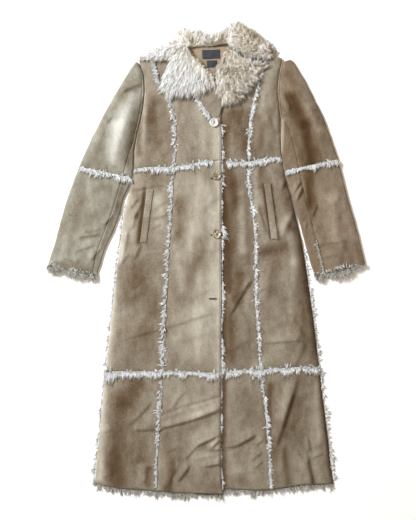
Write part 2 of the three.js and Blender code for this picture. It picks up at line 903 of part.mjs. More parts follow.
function lapelFur(table, seat) {
  const plan = tableGrid(table, "neck", "outer", LAPEL_SHARES);
  const low = plan.map((row) => row.map(([x, y]) => [x, y, seat(x, y) + FACING + 0.9]));
  const high = low.map((row, j) => row.map(([x, y, z], i) => {
    const end = j === 0 || j === low.length - 1 ? 0.6 : 1;
    return [x, y, z + LAPEL_FUR_HEIGHT[i] * end * (1 + 0.06 * waver(7 * j + i, 5))];
  }));
  return wall(high, low);
}

function addLapels() {
  add("right_lapel_facing", facing(RIGHT_LAPEL_FACING, rightLapelSeat), suede);
  add("left_lapel_facing", facing(LEFT_LAPEL_FACING, leftLapelSeat), suede);
  add("right_lapel_fur", lapelFur(RIGHT_LAPEL_FUR, rightLapelSeat), fur);
  add("left_lapel_fur", lapelFur(LEFT_LAPEL_FUR, leftLapelSeat), fur);
}

// The short strip of fur along the left edge of the right lapel's bare corner.
function addLapelEdgeFur() {
  const inner = [[-22, 420], [-6, 397], [9, 372]];
  const outer = [[-32, 415], [-14, 390], [3, 368]];
  const along = (points) => (t) => {
    const i = t < 0.5 ? 0 : 1;
    return [0, 1].map((k) => mix(points[i][k], points[i + 1][k], 2 * t - i));
  };
  const seat = (x, y) => rightLapelSeat(x, y) + FACING + STRIP_SEAT;
  const shape = { root: along(inner), tip: along(outer), steps: 6, seat, heights: VENT_FUR };
  add("right_lapel_edge_fur", furStrip({ ...shape, rag: 0.2 }), fur);
}

function addCollar() {
  const base = line(COLLAR_LEVELS.x, COLLAR_LEVELS.base);
  const level = (x) => Math.min(6.6, base(x)) + 0.3;
  const underShares = [0, 0.5, 1].map((s) => s * UNDERCOLLAR_SHARE);
  const underRows = COLLAR.slice(1, -1);
  const underPlan = tableGrid(underRows, "inner", "outer", underShares);
  const low = underPlan.map((row) => row.map(([x, y]) => [x, y, level(x)]));
  const high = low.map((row) => row.map(([x, y, z]) => [x, y, z + FACING]));
  add("undercollar", wall(high, low), suede);

  const shares = [0, 0.16, 0.4, 0.66, 0.74, 0.88, 1];
  const tops = [10, 22, 28, 27, 24, 17, 6];
  const furLow = (x, i) => (i < 4 ? level(x) + FACING + 0.5 : 0.6);
  for (const [name, [from, to]] of Object.entries(COLLAR_PARTS)) {
    const part = COLLAR.slice(from, to + 1);
    const plan = tableGrid(part, "inner", "outer", shares);
    const under = plan.map((row) => row.map(([x, y], i) => [x, y, furLow(x, i)]));
    const over = plan.map((row, j) => row.map(([x, y], i) => {
      const tip = from + j === 0 || from + j === COLLAR.length - 1 ? 0.45 : 1;
      const z = Math.max(furLow(x, i) + 2.5, tops[i] * tip * (1 + 0.08 * waver(from + j, i)));
      return [x, y, z + (i < 4 ? 3 : 0)];
    }));
    add(`collar_fur_${name}`, wall(over, under), fur);
  }
}

// Inside the neck
function addNeckInside() {
  const left = (y) => Math.min(frontEdge(y), 34) + NECK_MARGIN;
  const right = (y) => underlap(y) - NECK_MARGIN;
  const top = line([-60, -30, 70], [542, 550, 551]);
  const outline = { left, right, bottom: () => 478, top, shares: EVEN, steps: 6 };
  const plan = planGrid(outline);
  const low = plan.map((row) => row.map(([x, y]) => [x, y, CLOTH + SEAM]));
  const high = low.map((row) => row.map(([x, y, z]) => [x, y, z + LINING]));
  add("back_neck_lining", wall(high, low), suedeInside);
  for (const { name, x, y, width, height, turn } of LABELS) {
    const label = add(name, new THREE.BoxGeometry(width, height, LABEL_THICKNESS), navyTape);
    label.position.set(x, y, CLOTH + LINING + 2 * SEAM + LABEL_THICKNESS / 2);
    label.rotation.z = THREE.MathUtils.degToRad(turn);
  }
}

// Pocket welts, parallelograms that follow the front under them.
function addWelts() {
  for (const { name, topX, topY, bottomX, bottomY, width } of WELTS) {
    const top = topX < 0 ? rightTop : leftTop;
    const low = [0, 0.25, 0.5, 0.75, 1].map((t) => [0, 0.5, 1].map((s) => {
      const x = mix(bottomX, topX, t) + s * width;
      const y = mix(bottomY, topY, t);
      return [x, y, top(x, y) + STRIP_SEAT];
    }));
    const high = low.map((row) => row.map(([x, y, z]) => [x, y, z + WELT_THICKNESS]));
    add(name, wall(high, low), suede);
  }
}

// Buttons with four holes, a rim and a dished face.
function buttonGeometry() {
  const profile = [
    [0, 0],
    [BUTTON_RADIUS - 1.4, 0],
    [BUTTON_RADIUS, 1.2],
    [BUTTON_RADIUS, BUTTON_HEIGHT - 0.9],
    [BUTTON_RADIUS - 0.9, BUTTON_HEIGHT],
    [BUTTON_RADIUS - 2.6, BUTTON_HEIGHT],
    [BUTTON_RADIUS - 4.2, BUTTON_HEIGHT - 1],
    [0, BUTTON_HEIGHT - 1.2],
  ].map(([radius, height]) => new THREE.Vector2(radius, height));
  const disc = new THREE.LatheGeometry(profile, 18).rotateX(Math.PI / 2);
  const holes = [45, 135, 225, 315].map((angle) => {
    const turn = THREE.MathUtils.degToRad(angle);
    const hole = new THREE.CylinderGeometry(1.2, 1.2, 3 * BUTTON_HEIGHT, 6).rotateX(Math.PI / 2);
    return hole.translate(3 * Math.cos(turn), 3 * Math.sin(turn), 0);
  });
  return cut(disc, holes);
}

function addButtons() {
  const geometry = buttonGeometry();
  const seat = 2 * CLOTH + 2 * SEAM + OVERLAP;
  for (const { name, x, y, tilt } of BUTTONS) {
    const button = add(name, geometry.clone(), name === "button_top" ? pearl : horn);
    const raise = BUTTON_RADIUS * Math.sin(THREE.MathUtils.degToRad(tilt));
    button.position.set(x, y, seat + raise);
    button.rotation.y = THREE.MathUtils.degToRad(tilt);
  }
}

addFronts();
addBack();
addSleeves();
addPrincessFur();
addCrossFur();
addBorderFur();
addSleeveFur();
addVentFur();
addFrontEdgeFur();
addLapels();
addLapelEdgeFur();
addCollar();
addNeckInside();
addWelts();
addButtons();

// The origin is the middle of the coat's outline, on the surface that it lies on.
const box = new THREE.Box3().setFromObject(coat);
const middle = box.getCenter(new THREE.Vector3());
coat.position.set(-middle.x, -middle.y, -box.min.z);

export default coat;
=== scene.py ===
"""Dresses a long fur-trimmed faux suede coat, laid flat on its back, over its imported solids.

Tables are in millimetres in the pattern's own frame: x towards the wearer's left, y towards the
collar, z up from the surface. Meshes are in metres in the part's frame, which is the same frame moved
so that its origin is the middle of the coat's outline.
"""

import logging
import math
from collections.abc import Callable, Sequence
from dataclasses import dataclass
from enum import Enum
from typing import Any

import bpy
import numpy as np
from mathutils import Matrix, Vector


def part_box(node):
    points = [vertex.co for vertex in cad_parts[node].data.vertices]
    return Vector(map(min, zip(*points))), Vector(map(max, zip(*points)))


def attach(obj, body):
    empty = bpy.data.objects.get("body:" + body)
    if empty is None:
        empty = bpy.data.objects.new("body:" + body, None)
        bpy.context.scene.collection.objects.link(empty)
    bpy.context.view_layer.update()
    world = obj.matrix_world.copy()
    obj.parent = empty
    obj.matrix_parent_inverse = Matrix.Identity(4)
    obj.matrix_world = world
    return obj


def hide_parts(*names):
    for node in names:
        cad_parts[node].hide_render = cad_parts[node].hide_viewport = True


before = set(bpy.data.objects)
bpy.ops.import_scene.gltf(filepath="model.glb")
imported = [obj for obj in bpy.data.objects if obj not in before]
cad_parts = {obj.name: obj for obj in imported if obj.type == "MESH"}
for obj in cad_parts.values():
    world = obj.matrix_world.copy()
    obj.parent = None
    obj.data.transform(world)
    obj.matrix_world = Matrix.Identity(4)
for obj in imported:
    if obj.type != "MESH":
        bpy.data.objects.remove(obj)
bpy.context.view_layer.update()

Array = np.ndarray
Height = Callable[[Array, Array], Array]
Line = Callable[[Array], Array]
Table = Sequence[Sequence[float]]
log = logging.getLogger("coat")

MM = 0.001

# Centres of the buttons from top to bottom. The lower one places the pattern's frame in the part's.
BUTTON_PLACES = ((15.5, 356), (21.5, 219), (22, 67.5))
BUTTONHOLE_PLACES = ((8, 351), (8, 211), (8, 64.5), (12, -100.5))
PHOTO_MM_PER_PIXEL = 2.6
PHOTO_SIZE = (416, 520)
CAMERA_HEIGHT_MM = 2300.0

# Layers of the laid coat: the back's thickness, the level of the fronts' undersides, the cloth's
# thickness, the lift of the overlapping front and the shares of its width between which it climbs
BACK_THICKNESS = 2.8
LAYER = 3.3
CLOTH = 2.6
OVERLAP = 3.3
RAMP = (0.49, 0.65)
# How far a panel swells between its seams, how much deeper than in their tables creases are pressed,
# and the radius of a sleeve's folds
PANEL_SWELL = 3.0
CREASE_DEPTH = 1.8
FOLD_RADIUS = 3.35
# How far lapels and buttons stand off the cloth below them, and a lapel facing's thickness
SEAT_LIFT = 0.9
FACING = 2.0

# Seam lines down the body: y, right side, right princess, buttoned edge, left princess, left side
BODY = (
    (559, -181, -148, -59, 151, 199), (520, -181, -138, -35, 144, 192), (481, -166, -127, 12, 136, 183),
    (442, -164, -111, 37, 126, 179), (403, -167, -93, 38, 116, 183), (364, -174, -85, 32, 109, 188),
    (325, -184, -83, 36, 106, 187), (286, -191, -85, 36, 104, 188), (247, -191, -87, 35, 104, 193),
    (208, -192, -91, 35, 103, 202), (169, -207, -94, 35, 108, 214), (117, -220, -96, 35, 117, 227),
    (52, -226, -100, 35, 123, 243), (-26, -237, -105, 36, 123, 256), (-104, -246, -109, 36, 123, 267),
    (-182, -255, -113, 34, 130, 277), (-289, -265, -117, 35, 135, 290), (-364, -273, -123, 34, 147, 299),
    (-442, -281, -128, 33, 154, 309), (-520, -289, -133, 33, 159, 318), (-598, -297, -134, 37, 162, 328),
)
UNDERLAP = (
    (571, 76), (556, 73), (515, 47), (468, 31), (437, 26), (403, 16), (364, -3), (355, -2), (-620, -2),
)
SHOULDER = (
    (-185, 516), (-143, 533), (-99, 549), (-55, 562), (36, 562), (73, 569), (109, 556), (151, 541),
    (198, 520),
)
RIGHT_WAIST = ((-195, 234), (-153, 240), (-94, 240), (-65, 244), (-21, 253), (13, 257), (39, 259))
LEFT_WAIST = ((-10, 259), (36, 259), (57, 253), (107, 253), (143, 262), (195, 267))
RIGHT_KNEE = ((-275, -290), (-73, -290), (39, -294))
LEFT_KNEE = ((-10, -295), (36, -294), (78, -286), (135, -286), (177, -282), (234, -279), (294, -279))
RIGHT_HEM = ((-307, -573), (-265, -586), (-213, -593), (-148, -597), (-94, -603), (47, -606))
LEFT_HEM = ((-10, -591), (44, -593), (133, -597), (190, -591), (247, -582), (335, -580))


def srgb(code: str) -> tuple[float, float, float, float]:
    """Turns an sRGB hex colour into linear red, green, blue and alpha.

    Args:
        code: Six hex digits, such as "B39F7F".

    Returns:
        The linear colour, with alpha 1.
    """
    parts = [int(code[i : i + 2], 16) / 255 for i in (0, 2, 4)]
    linear = [p / 12.92 if p <= 0.04045 else ((p + 0.055) / 1.055) ** 2.4 for p in parts]
    return (linear[0], linear[1], linear[2], 1.0)


def smooth(low: float, high: float, value: Array) -> Array:
    """Rises softly from 0 at low to 1 at high."""
    s = np.clip((value - low) / (high - low), 0, 1)
    return s * s * (3 - 2 * s)


def waves(x: Array, y: Array, seed: int, longest: float, shortest: float, count: int = 14) -> Array:
    """A smooth random field, about -1 to 1, made of waves between two lengths.

    Args:
        x: Places across, in mm.
        y: Places along, in mm.
        seed: Chooses the field.
        longest: The longest wave, in mm.
        shortest: The shortest wave, in mm.
        count: How many waves are added.

    Returns:
        The field at each place.
    """
    rng = np.random.default_rng(seed)
    total = np.zeros(np.broadcast(x, y).shape)
    for _ in range(count):
        length = shortest * (longest / shortest) ** rng.random()
        turn, phase = rng.random(2) * 2 * math.pi
        total += np.sin((x * math.cos(turn) + y * math.sin(turn)) * 2 * math.pi / length + phase)
    return total / math.sqrt(count / 2) / 1.6


@dataclass(frozen=True)
class SeamLine:
    """A line through measured points, softened so that it has no corners."""

    keys: tuple[float, ...]
    values: tuple[float, ...]
    softness: float = 9.0

    @classmethod
    def through(cls, rows: Table, column: int = 1, softness: float = 9.0) -> "SeamLine":
        """Reads a line from the first and one other column of a table.

        Args:
            rows: The table.
            column: The column that holds the line's values.
            softness: How far its corners are rounded, in mm.

        Returns:
            The line, running straight on past its ends.
        """
        ordered = sorted((row[0], row[column]) for row in rows)
        keys = [k for k, _ in ordered]
        values = [v for _, v in ordered]
        first = (values[1] - values[0]) / (keys[1] - keys[0])
        last = (values[-1] - values[-2]) / (keys[-1] - keys[-2])
        reach = 300.0
        keys = [keys[0] - reach, *keys, keys[-1] + reach]
        values = [values[0] - reach * first, *values, values[-1] + reach * last]
        return cls(tuple(keys), tuple(values), softness)

    def at(self, key: Array | float) -> Array:
        """The line's value at each key."""
        key = np.asarray(key, float)
        offsets = np.linspace(-1.6, 1.6, 7) * self.softness
        weights = np.exp(-((offsets / self.softness) ** 2))
        total = sum(w * np.interp(key + o, self.keys, self.values) for w, o in zip(weights, offsets))
        return total / weights.sum()


RIGHT_SIDE = SeamLine.through(BODY, 1)
RIGHT_PRINCESS = SeamLine.through(BODY, 2)
FRONT_EDGE = SeamLine.through(BODY, 3, 5)
LEFT_PRINCESS = SeamLine.through(BODY, 4)
LEFT_SIDE = SeamLine.through(BODY, 5)
UNDER_EDGE = SeamLine.through(UNDERLAP, 1, 5)
SHOULDER_LINE = SeamLine.through(SHOULDER, 1, 6)
RIGHT_ACROSS = (*map(SeamLine.through, (RIGHT_HEM, RIGHT_KNEE, RIGHT_WAIST)), SHOULDER_LINE)
LEFT_ACROSS = (*map(SeamLine.through, (LEFT_HEM, LEFT_KNEE, LEFT_WAIST)), SHOULDER_LINE)


class Side(Enum):
    """The wearer's side that a piece belongs to."""

    RIGHT = "right"
    LEFT = "left"


@dataclass(frozen=True)
class Crease:
    """One crease of the cloth: a ridge that climbs evenly on one side and drops steeply on the other.

    It runs between two points. Its sides are steep and soft millimetres wide, and its middle bends
    aside by bow.
    """

    x1: float
    y1: float
    x2: float
    y2: float
    height: float
    steep: float = 4.0
    soft: float = 12.0
    bow: float = 0.0

    def at(self, x: Array, y: Array) -> Array:
        """Works out the crease, whose steep side faces down or to the right of the coat.

        Args:
            x: Places across, in mm.
            y: Places along, in mm.

        Returns:
            Its height over each place.
        """
        dx, dy = self.x2 - self.x1, self.y2 - self.y1
        length = math.hypot(dx, dy)
        side = 1.0 if dx + dy >= 0 else -1.0
        along = ((x - self.x1) * dx + (y - self.y1) * dy) / length**2
        off = side * ((x - self.x1) * dy - (y - self.y1) * dx) / length
        off = off - self.bow * 4 * along * (1 - along)
        climb = np.clip(1 + off / (1.8 * self.soft), 0, 1)
        drop = np.exp(-((off / self.steep) ** 2))
        ends = smooth(-0.08, 0.22, along) * smooth(-0.08, 0.22, 1 - along)
        return self.height * ends * np.where(off > 0, drop, climb)


# Broad folds that the solids have too: x1, y1, x2, y2, height, width
FOLDS = (
    (-125, -406, -20, -362, 2.2, 24), (-198, -437, -143, -413, 1.6, 20), (-229, -192, -40, -140, 1.2, 22),
    (-205, 155, -168, 185, 1.4, 22), (-150, 20, -60, 60, 1.2, 40), (-60, 300, -70, 350, 1.2, 40),
    (270, -200, 237, -276, 1.8, 22), (226, -299, 172, -491, 2.2, 24), (148, -216, 262, -195, 1.2, 22),
    (185, 65, 229, 143, 2.2, 28), (188, 200, 214, 160, 1.4, 22), (150, 300, 140, 350, 1.2, 40),
)

# Creases, placed one by one: x1, y1, x2, y2, height and, where they differ, steep, soft and bow
FRONT_CREASES = (
    (-213, -432, -146, -364, 2.4, 5, 16, 2), (-195, -439, -133, -437, 2.8, 4, 22),
    (-276, -445, -250, -437, 1.5, 3, 8, 1), (-187, -530, -140, -528, -2.2, 2.5, 12),
    (-161, -530, -165, -580, 2.8, 4, 10), (-250, -325, -263, -572, 2.2, 26, 22),
    (-234, -369, -151, -369, 1.2, 7, 12, -4), (-283, -507, -250, -562, 1.2, 8, 14),
    (-135, -437, -47, -413, 3.8, 5, 24), (-57, -417, 36, -382, 4.4, 5, 27),
    (-130, -406, -57, -381, -1.9, 3, 4), (-62, -382, 36, -354, -1.9, 3, 4),
    (-96, -385, -62, -338, 1.5, 4, 8), (-78, -572, -47, -528, 3.0, 3.5, 8),
    (-60, -515, -29, -478, 2.4, 4, 10), (-34, -481, 36, -448, 3.6, 4.5, 13, -1),
    (5, -486, 34, -458, 3.0, 3.5, 6), (-5, -490, 36, -489, 2.6, 3, 7), (-16, -533, 36, -525, 3.2, 3, 9),
    (-107, -494, -78, -486, 1.3, 3, 6), (-91, -499, -101, -595, 2.0, 6, 8),
    (-78, -499, -81, -585, 1.6, 5, 7), (-109, -588, -83, -533, 1.6, 5, 8),
    (-39, -515, 31, -499, 1.2, 7, 10), (42, -485, 83, -477, 2.8, 3.5, 12),
    (75, -478, 122, -452, 3.8, 3.5, 13), (122, -478, 143, -465, 1.8, 3, 7),
    (112, -517, 140, -497, 1.7, 3, 7), (120, -538, 143, -517, 1.6, 3, 7),
    (52, -551, 130, -546, 1.3, 7, 12), (55, -325, 75, -367, 1.2, 5, 8),
    (169, -494, 229, -304, 4.2, 7, 26), (203, -582, 192, -494, 2.2, 8, 14),
    (213, -447, 242, -476, 1.8, 3, 8), (263, -494, 255, -458, 3.0, 3.5, 6),
    (255, -538, 226, -491, 2.8, 4, 9, -1), (270, -585, 250, -494, 3.4, 9, 11),
    (278, -582, 263, -510, -1.8, 3, 5), (270, -512, 299, -499, 1.6, 3, 7),
    (289, -494, 278, -325, 2.2, 12, 14), (302, -567, 283, -530, 1.6, 4, 8),
    (-203, 182, -161, 190, 2.4, 4, 9, 1), (-203, 133, -182, 161, 2.8, 4.5, 8),
    (-195, 107, -174, 148, 2.2, 5, 8), (-226, -8, -208, 81, 2.6, 5, 10, 1),
    (-198, 81, -185, 130, 2.0, 5, 8), (-192, 3, -174, 44, 2.4, 5, 10), (-234, -21, -205, 21, 2.0, 5, 10),
    (-151, 107, -101, 122, 2.0, 6, 12), (-146, 83, -122, 94, 1.4, 4, 7),
    (-146, 130, -104, 159, 1.6, 7, 12), (-164, 192, -94, 194, 0.9, 2.5, 4),
    (-164, 18, -109, 20, 0.9, 3, 3), (-216, -104, -151, -65, 1.6, 12, 18),
    (-250, -182, -151, -161, 1.4, 12, 18), (-151, -78, -125, -208, 1.3, 12, 16),
    (-88, 192, -10, 198, 0.8, 2.5, 5), (-94, 26, -57, 52, 1.4, 9, 14), (-65, -104, 16, -65, 1.4, 12, 18),
    (-94, -208, 18, -182, 1.2, 12, 18), (-31, 114, 16, 166, 1.2, 9, 14), (47, -5, 114, -10, 0.8, 3, 5),
    (47, -104, 94, -68, 1.4, 9, 14), (94, -68, 114, -52, 1.6, 4, 8), (52, -234, 114, -195, 1.3, 10, 16),
    (57, 156, 99, 182, 1.2, 10, 16), (151, 65, 125, 148, 2.6, 4.5, 9, -1),
    (185, 52, 218, 133, 3.2, 10, 13, 2), (224, -5, 203, 78, 2.4, 14, 15),
    (218, -109, 224, 5, 2.2, 16, 16), (190, 179, 198, 211, 1.6, 4, 7), (198, 156, 218, 177, 1.6, 5, 9),
    (140, -5, 198, 36, -2.0, 16, 18), (140, -182, 213, -151, 1.6, 12, 18),
    (229, -234, 244, -104, 1.8, 12, 16), (187, 192, 218, 208, 1.4, 5, 9),
    (-151, 351, -143, 421, 1.8, 10, 12), (-166, 286, -161, 421, 1.6, 8, 8),
    (-125, 265, -96, 296, 1.4, 7, 10), (-55, 390, -47, 419, 1.2, 4, 7), (-78, 286, 16, 312, 1.2, 12, 16),
    (91, 325, 55, 400, 1.8, 9, 12), (172, 325, 153, 374, 2.4, 3.5, 7), (179, 328, 179, 390, 1.6, 4, 7),
    (140, 385, 151, 458, 1.8, 8, 10), (130, 286, 140, 369, 1.3, 9, 12),
    (-213, -203, -60, -160, 1.8, 3.5, 14), (-70, -160, 12, -136, 1.4, 4, 12),
    (50, -150, 112, -45, 2.8, 4, 15), (140, -214, 250, -206, 2.2, 3.5, 10),
    (213, -143, 252, -204, 2.2, 4, 10), (222, -276, 254, -208, 1.8, 4, 9),
)
RIGHT_SLEEVE_CREASES = (
    (-226, 434, -174, 458, 2.4, 6, 11, -2), (-250, 252, -192, 426, 3.4, 22, 24, 3),
    (-263, 356, -247, 374, 1.6, 4, 8), (-338, 60, -278, 68, 2.0, 4, 8), (-325, 73, -278, 81, 1.4, 3.5, 7),
    (-348, 23, -291, 42, 1.4, 5, 9), (-374, 10, -333, -8, 2.0, 5, 9), (-304, 0, -283, 29, 1.8, 5, 9),
    (-317, 117, -260, 143, 1.5, 12, 18), (-312, 182, -250, 203, 1.4, 12, 16),
    (-250, 114, -273, 88, 1.4, 4, 8), (-291, 286, -260, 364, 1.6, 14, 18),
)
LEFT_SLEEVE_CREASES = (
    (273, 382, 218, 447, 2.8, 12, 16, -3), (304, 255, 265, 393, 2.6, 14, 16, -3),
    (213, 385, 192, 437, 2.2, 5, 9), (190, 281, 195, 369, 2.0, 6, 7), (216, 164, 239, 205, 2.6, 3.5, 5),
    (224, 146, 244, 190, 2.8, 3.5, 5), (268, 112, 281, 146, 1.9, 4, 7), (247, 62, 255, 101, 1.6, 4, 7),
    (283, 42, 346, 47, 1.2, 3, 6), (294, 8, 346, 18, 1.2, 4, 8), (335, -13, 348, 65, 1.6, 12, 14),
    (333, 47, 322, 166, 1.8, 14, 16), (374, -5, 338, 16, 1.6, 6, 10), (296, 130, 343, 166, 1.3, 12, 16),
)

# Where the suede is coloured lighter or darker, by brushing and by painted light and shade: painted shade in
# folds and hollows, painted highlights on their lit sides, and painted shadows beside the pocket welts: x1,
# y1, x2, y2, tone, width
FRONT_NAP_AND_SHADE = (
    (72, 190, 76, -250, -0.26, 34), (215, 10, 245, -230, -0.22, 46), (-195, 180, -215, 60, -0.15, 20),
    (210, -330, 230, -540, -0.2, 60), (-210, -330, -215, -540, -0.16, 50),
    (-34, 190, -30, -240, 0.32, 34), (75, 350, 78, 280, 0.1, 26), (-47, -330, -47, -560, 0.2, 42),
    (-150, 395, -140, 320, -0.17, 26), (-73, 148, -75, 62, -0.45, 18), (-18, 47, -34, -5, -0.34, 20),
    (-34, -5, -47, -99, -0.32, 22), (8, 117, 18, -104, 0.34, 13), (-3, 182, 10, 130, 0.21, 13),
    (-42, 91, -47, 0, 0.26, 13), (-83, 26, -68, -78, 0.26, 13), (-88, -104, -73, -234, 0.13, 16),
    (-21, -130, -31, -234, 0.17, 21), (-143, 226, -135, 192, -0.38, 18), (-208, 169, -224, 0, 0.42, 13),
    (-195, 104, -200, 57, 0.21, 8), (-166, 169, -182, 44, -0.55, 6), (-146, 156, -159, 42, -0.18, 5),
    (-130, 156, -125, 91, 0.26, 13), (-151, -5, -177, -65, -0.2, 26), (-190, -21, -208, -104, -0.3, 23),
    (-247, -78, -260, -273, 0.42, 10), (-208, -156, -216, -260, -0.17, 21),
    (-146, -104, -151, -260, -0.09, 18), (-164, -182, -190, -221, -0.13, 21),
    (-229, -364, -244, -572, -0.34, 21), (-270, -325, -278, -567, 0.36, 8),
    (-177, -325, -208, -364, -0.3, 23), (-164, -468, -169, -520, -0.13, 21),
    (-151, -541, -153, -582, -0.42, 8), (-177, -541, -179, -582, 0.06, 10),
    (-250, -507, -229, -572, -0.26, 21), (-112, -468, -94, -520, -0.3, 16),
    (-94, -546, -107, -593, -0.42, 13), (-55, -551, -21, -588, -0.21, 21),
    (-8, -551, 10, -593, -0.13, 18), (-109, -325, -73, -364, 0.13, 18), (-8, -312, 16, -338, 0.09, 18),
    (-109, -424, -21, -395, 0.21, 8), (-21, -395, 31, -369, 0.27, 9), (-112, -452, -47, -437, -0.21, 10),
    (-42, -429, 26, -406, -0.21, 10), (-21, -507, 23, -504, 0.21, 9), (-16, -484, 5, -486, -0.27, 8),
    (13, -478, 23, -471, 0.48, 4), (10, -458, -21, -468, 0.18, 5), (-60, -481, -78, -507, -0.13, 13),
    (39, 208, 39, -247, -0.45, 7), (40, -307, 40, -585, -0.55, 8), (62, -325, 73, -442, 0.13, 16),
    (99, -351, 114, -416, -0.17, 16), (83, -494, 99, -572, -0.13, 18), (52, -351, 52, -442, 0.06, 8),
    (125, -468, 140, -572, -0.18, 10), (73, -572, 114, -582, -0.26, 13), (57, -499, 73, -546, 0.09, 13),
    (161, -325, 156, -468, -0.48, 9), (166, -468, 177, -572, -0.3, 9), (208, -325, 187, -403, 0.3, 13),
    (221, -351, 198, -429, -0.36, 5), (231, -364, 208, -442, -0.21, 16),
    (257, -325, 244, -416, -0.04, 16), (281, -325, 289, -468, 0.3, 8), (291, -291, 307, -442, -0.54, 5),
    (307, -442, 322, -556, -0.54, 5), (198, -494, 203, -577, -0.24, 10), (260, -525, 270, -577, -0.42, 6),
    (276, -525, 286, -572, 0.12, 8), (226, -533, 239, -577, 0.06, 10), (296, -442, 302, -507, 0.06, 8),
    (55, 229, 73, 148, -0.55, 18), (47, 143, 55, -78, -0.42, 9), (83, 169, 88, 26, 0.47, 13),
    (101, 143, 104, -5, -0.15, 6), (83, -39, 73, -104, -0.42, 16), (99, -65, 101, -130, 0.21, 9),
    (57, -130, 62, -260, -0.3, 10), (86, -156, 88, -260, 0.09, 16), (107, -156, 109, -265, -0.18, 6),
    (140, 252, 133, 192, -0.33, 10), (120, 229, 127, 143, 0.21, 7), (161, 234, 177, 208, 0.13, 13),
    (140, 130, 146, 78, -0.06, 8), (148, 182, 161, 57, -0.48, 4), (161, 190, 179, 57, -0.48, 4),
    (198, 169, 205, 125, -0.18, 10), (213, 88, 221, 78, -0.36, 10), (190, 83, 208, 114, 0.3, 8),
    (213, 62, 224, -5, 0.47, 12), (221, -5, 213, -130, 0.26, 16), (146, 21, 198, 36, -0.55, 16),
    (174, -5, 161, -78, -0.47, 18), (151, -104, 140, -234, -0.3, 16), (239, 65, 257, -78, -0.3, 9),
    (260, -78, 281, -234, -0.36, 8), (195, -156, 192, -247, 0.13, 18), (244, -104, 255, -234, -0.13, 13),
    (-146, 421, -151, 359, -0.38, 13), (-164, 429, -166, 286, 0.3, 7), (-117, 416, -109, 312, -0.03, 10),
    (-156, 325, -161, 265, -0.09, 13), (-179, 416, -179, 273, -0.36, 6),
    (-130, 515, -117, 478, -0.24, 10), (-83, 403, -83, 286, 0.09, 10), (-31, 390, -21, 286, 0.09, 23),
    (10, 351, 16, 265, 0.15, 10), (-57, 312, -52, 265, -0.13, 16), (65, 374, 99, 286, -0.51, 23),
    (47, 338, 52, 273, -0.3, 10), (83, 400, 107, 364, -0.21, 13), (148, 458, 140, 385, 0.27, 9),
    (130, 369, 138, 286, -0.12, 10), (161, 385, 166, 286, -0.15, 10), (174, 468, 169, 390, -0.12, 8),
    # The last thin dark strokes, along the pocket welts, are painted shadows of their slits.
    (109, 520, 130, 515, -0.34, 13), (-164, 184, -178, 48, -0.6, 4), (142, 194, 164, 56, -0.5, 4),
    (163, 194, 185, 56, -0.4, 4),
)
# The same for the sleeves: brushing, painted highlights on their lit folds and painted shade in their
# hollows.
RIGHT_SLEEVE_NAP_AND_SHADE = (
    (-232, 400, -262, 270, 0.13, 30), (-195, 421, -226, 351, 0.42, 13), (-229, 348, -247, 260, 0.51, 14),
    (-218, 437, -260, 369, -0.38, 12), (-265, 364, -283, 281, -0.3, 12), (-294, 351, -322, 265, 0.12, 10),
    (-195, 351, -208, 255, -0.45, 10), (-234, 143, -268, 52, -0.33, 8), (-218, 208, -234, 143, -0.3, 8),
    (-273, 44, -289, -21, -0.27, 8), (-302, 195, -312, 130, 0.21, 16), (-328, 156, -354, 78, -0.21, 13),
    (-359, 91, -385, 5, 0.21, 8), (-390, -10, -302, -29, -0.27, 8), (-281, 182, -268, 130, 0.09, 16),
    (-182, 489, -177, 429, 0.12, 10), (-203, 473, -229, 437, 0.09, 13), (-260, 203, -239, 192, 0.15, 10),
    (-312, 73, -286, 62, -0.12, 8), (-320, 39, -307, 10, 0.09, 10),
)
LEFT_SLEEVE_NAP_AND_SHADE = (
    (222, 400, 265, 270, -0.45, 40), (239, 437, 286, 338, 0.3, 13), (286, 338, 309, 260, 0.3, 13),
    (213, 424, 250, 351, -0.47, 13), (250, 351, 268, 247, -0.55, 13), (260, 229, 268, 143, -0.51, 13),
    (195, 364, 190, 286, 0.33, 6), (205, 338, 216, 265, -0.06, 8), (291, 221, 286, 169, 0.06, 10),
    (322, 161, 330, 52, 0.26, 16), (356, 182, 385, 78, -0.21, 10), (278, 117, 296, 57, -0.06, 10),
    (317, 26, 356, -5, -0.09, 16), (385, 39, 400, -5, -0.3, 8), (213, 195, 229, 156, 0.06, 8),
    (255, 208, 270, 91, -0.3, 5), (208, 481, 234, 442, -0.17, 13), (239, 91, 255, 52, -0.06, 8),
    (268, 26, 276, -31, -0.09, 8), (309, 395, 333, 286, -0.09, 8), (198, 416, 205, 385, 0.09, 8),
)


def creased(table: Table, x: Array, y: Array) -> Array:
    """Adds up creases.

    Args:
        table: Rows of a crease's values, in the order of Crease's fields.
        x: Places across.
        y: Places along.

    Returns:
        The height that they give each place.
    """
    total = np.zeros(np.broadcast(x, y).shape)
    for row in table:
        total = total + Crease(*row).at(x, y)
    return total * CREASE_DEPTH


def strokes(table: Table, x: Array, y: Array) -> Array:
    """Adds up soft strokes.

    Args:
        table: Rows of a stroke's two ends, its amount and its half width, in mm.
        x: Places across.
        y: Places along.

    Returns:
        The sum over each place.
    """
    total = np.zeros(np.broadcast(x, y).shape)
    for x1, y1, x2, y2, amount, width in table:
        dx, dy = x2 - x1, y2 - y1
        share = np.clip(((x - x1) * dx + (y - y1) * dy) / (dx * dx + dy * dy), 0, 1)
        away = np.hypot(x - x1 - share * dx, y - y1 - share * dy) / width
        total = total + amount * np.exp(-(away**2))
    return total


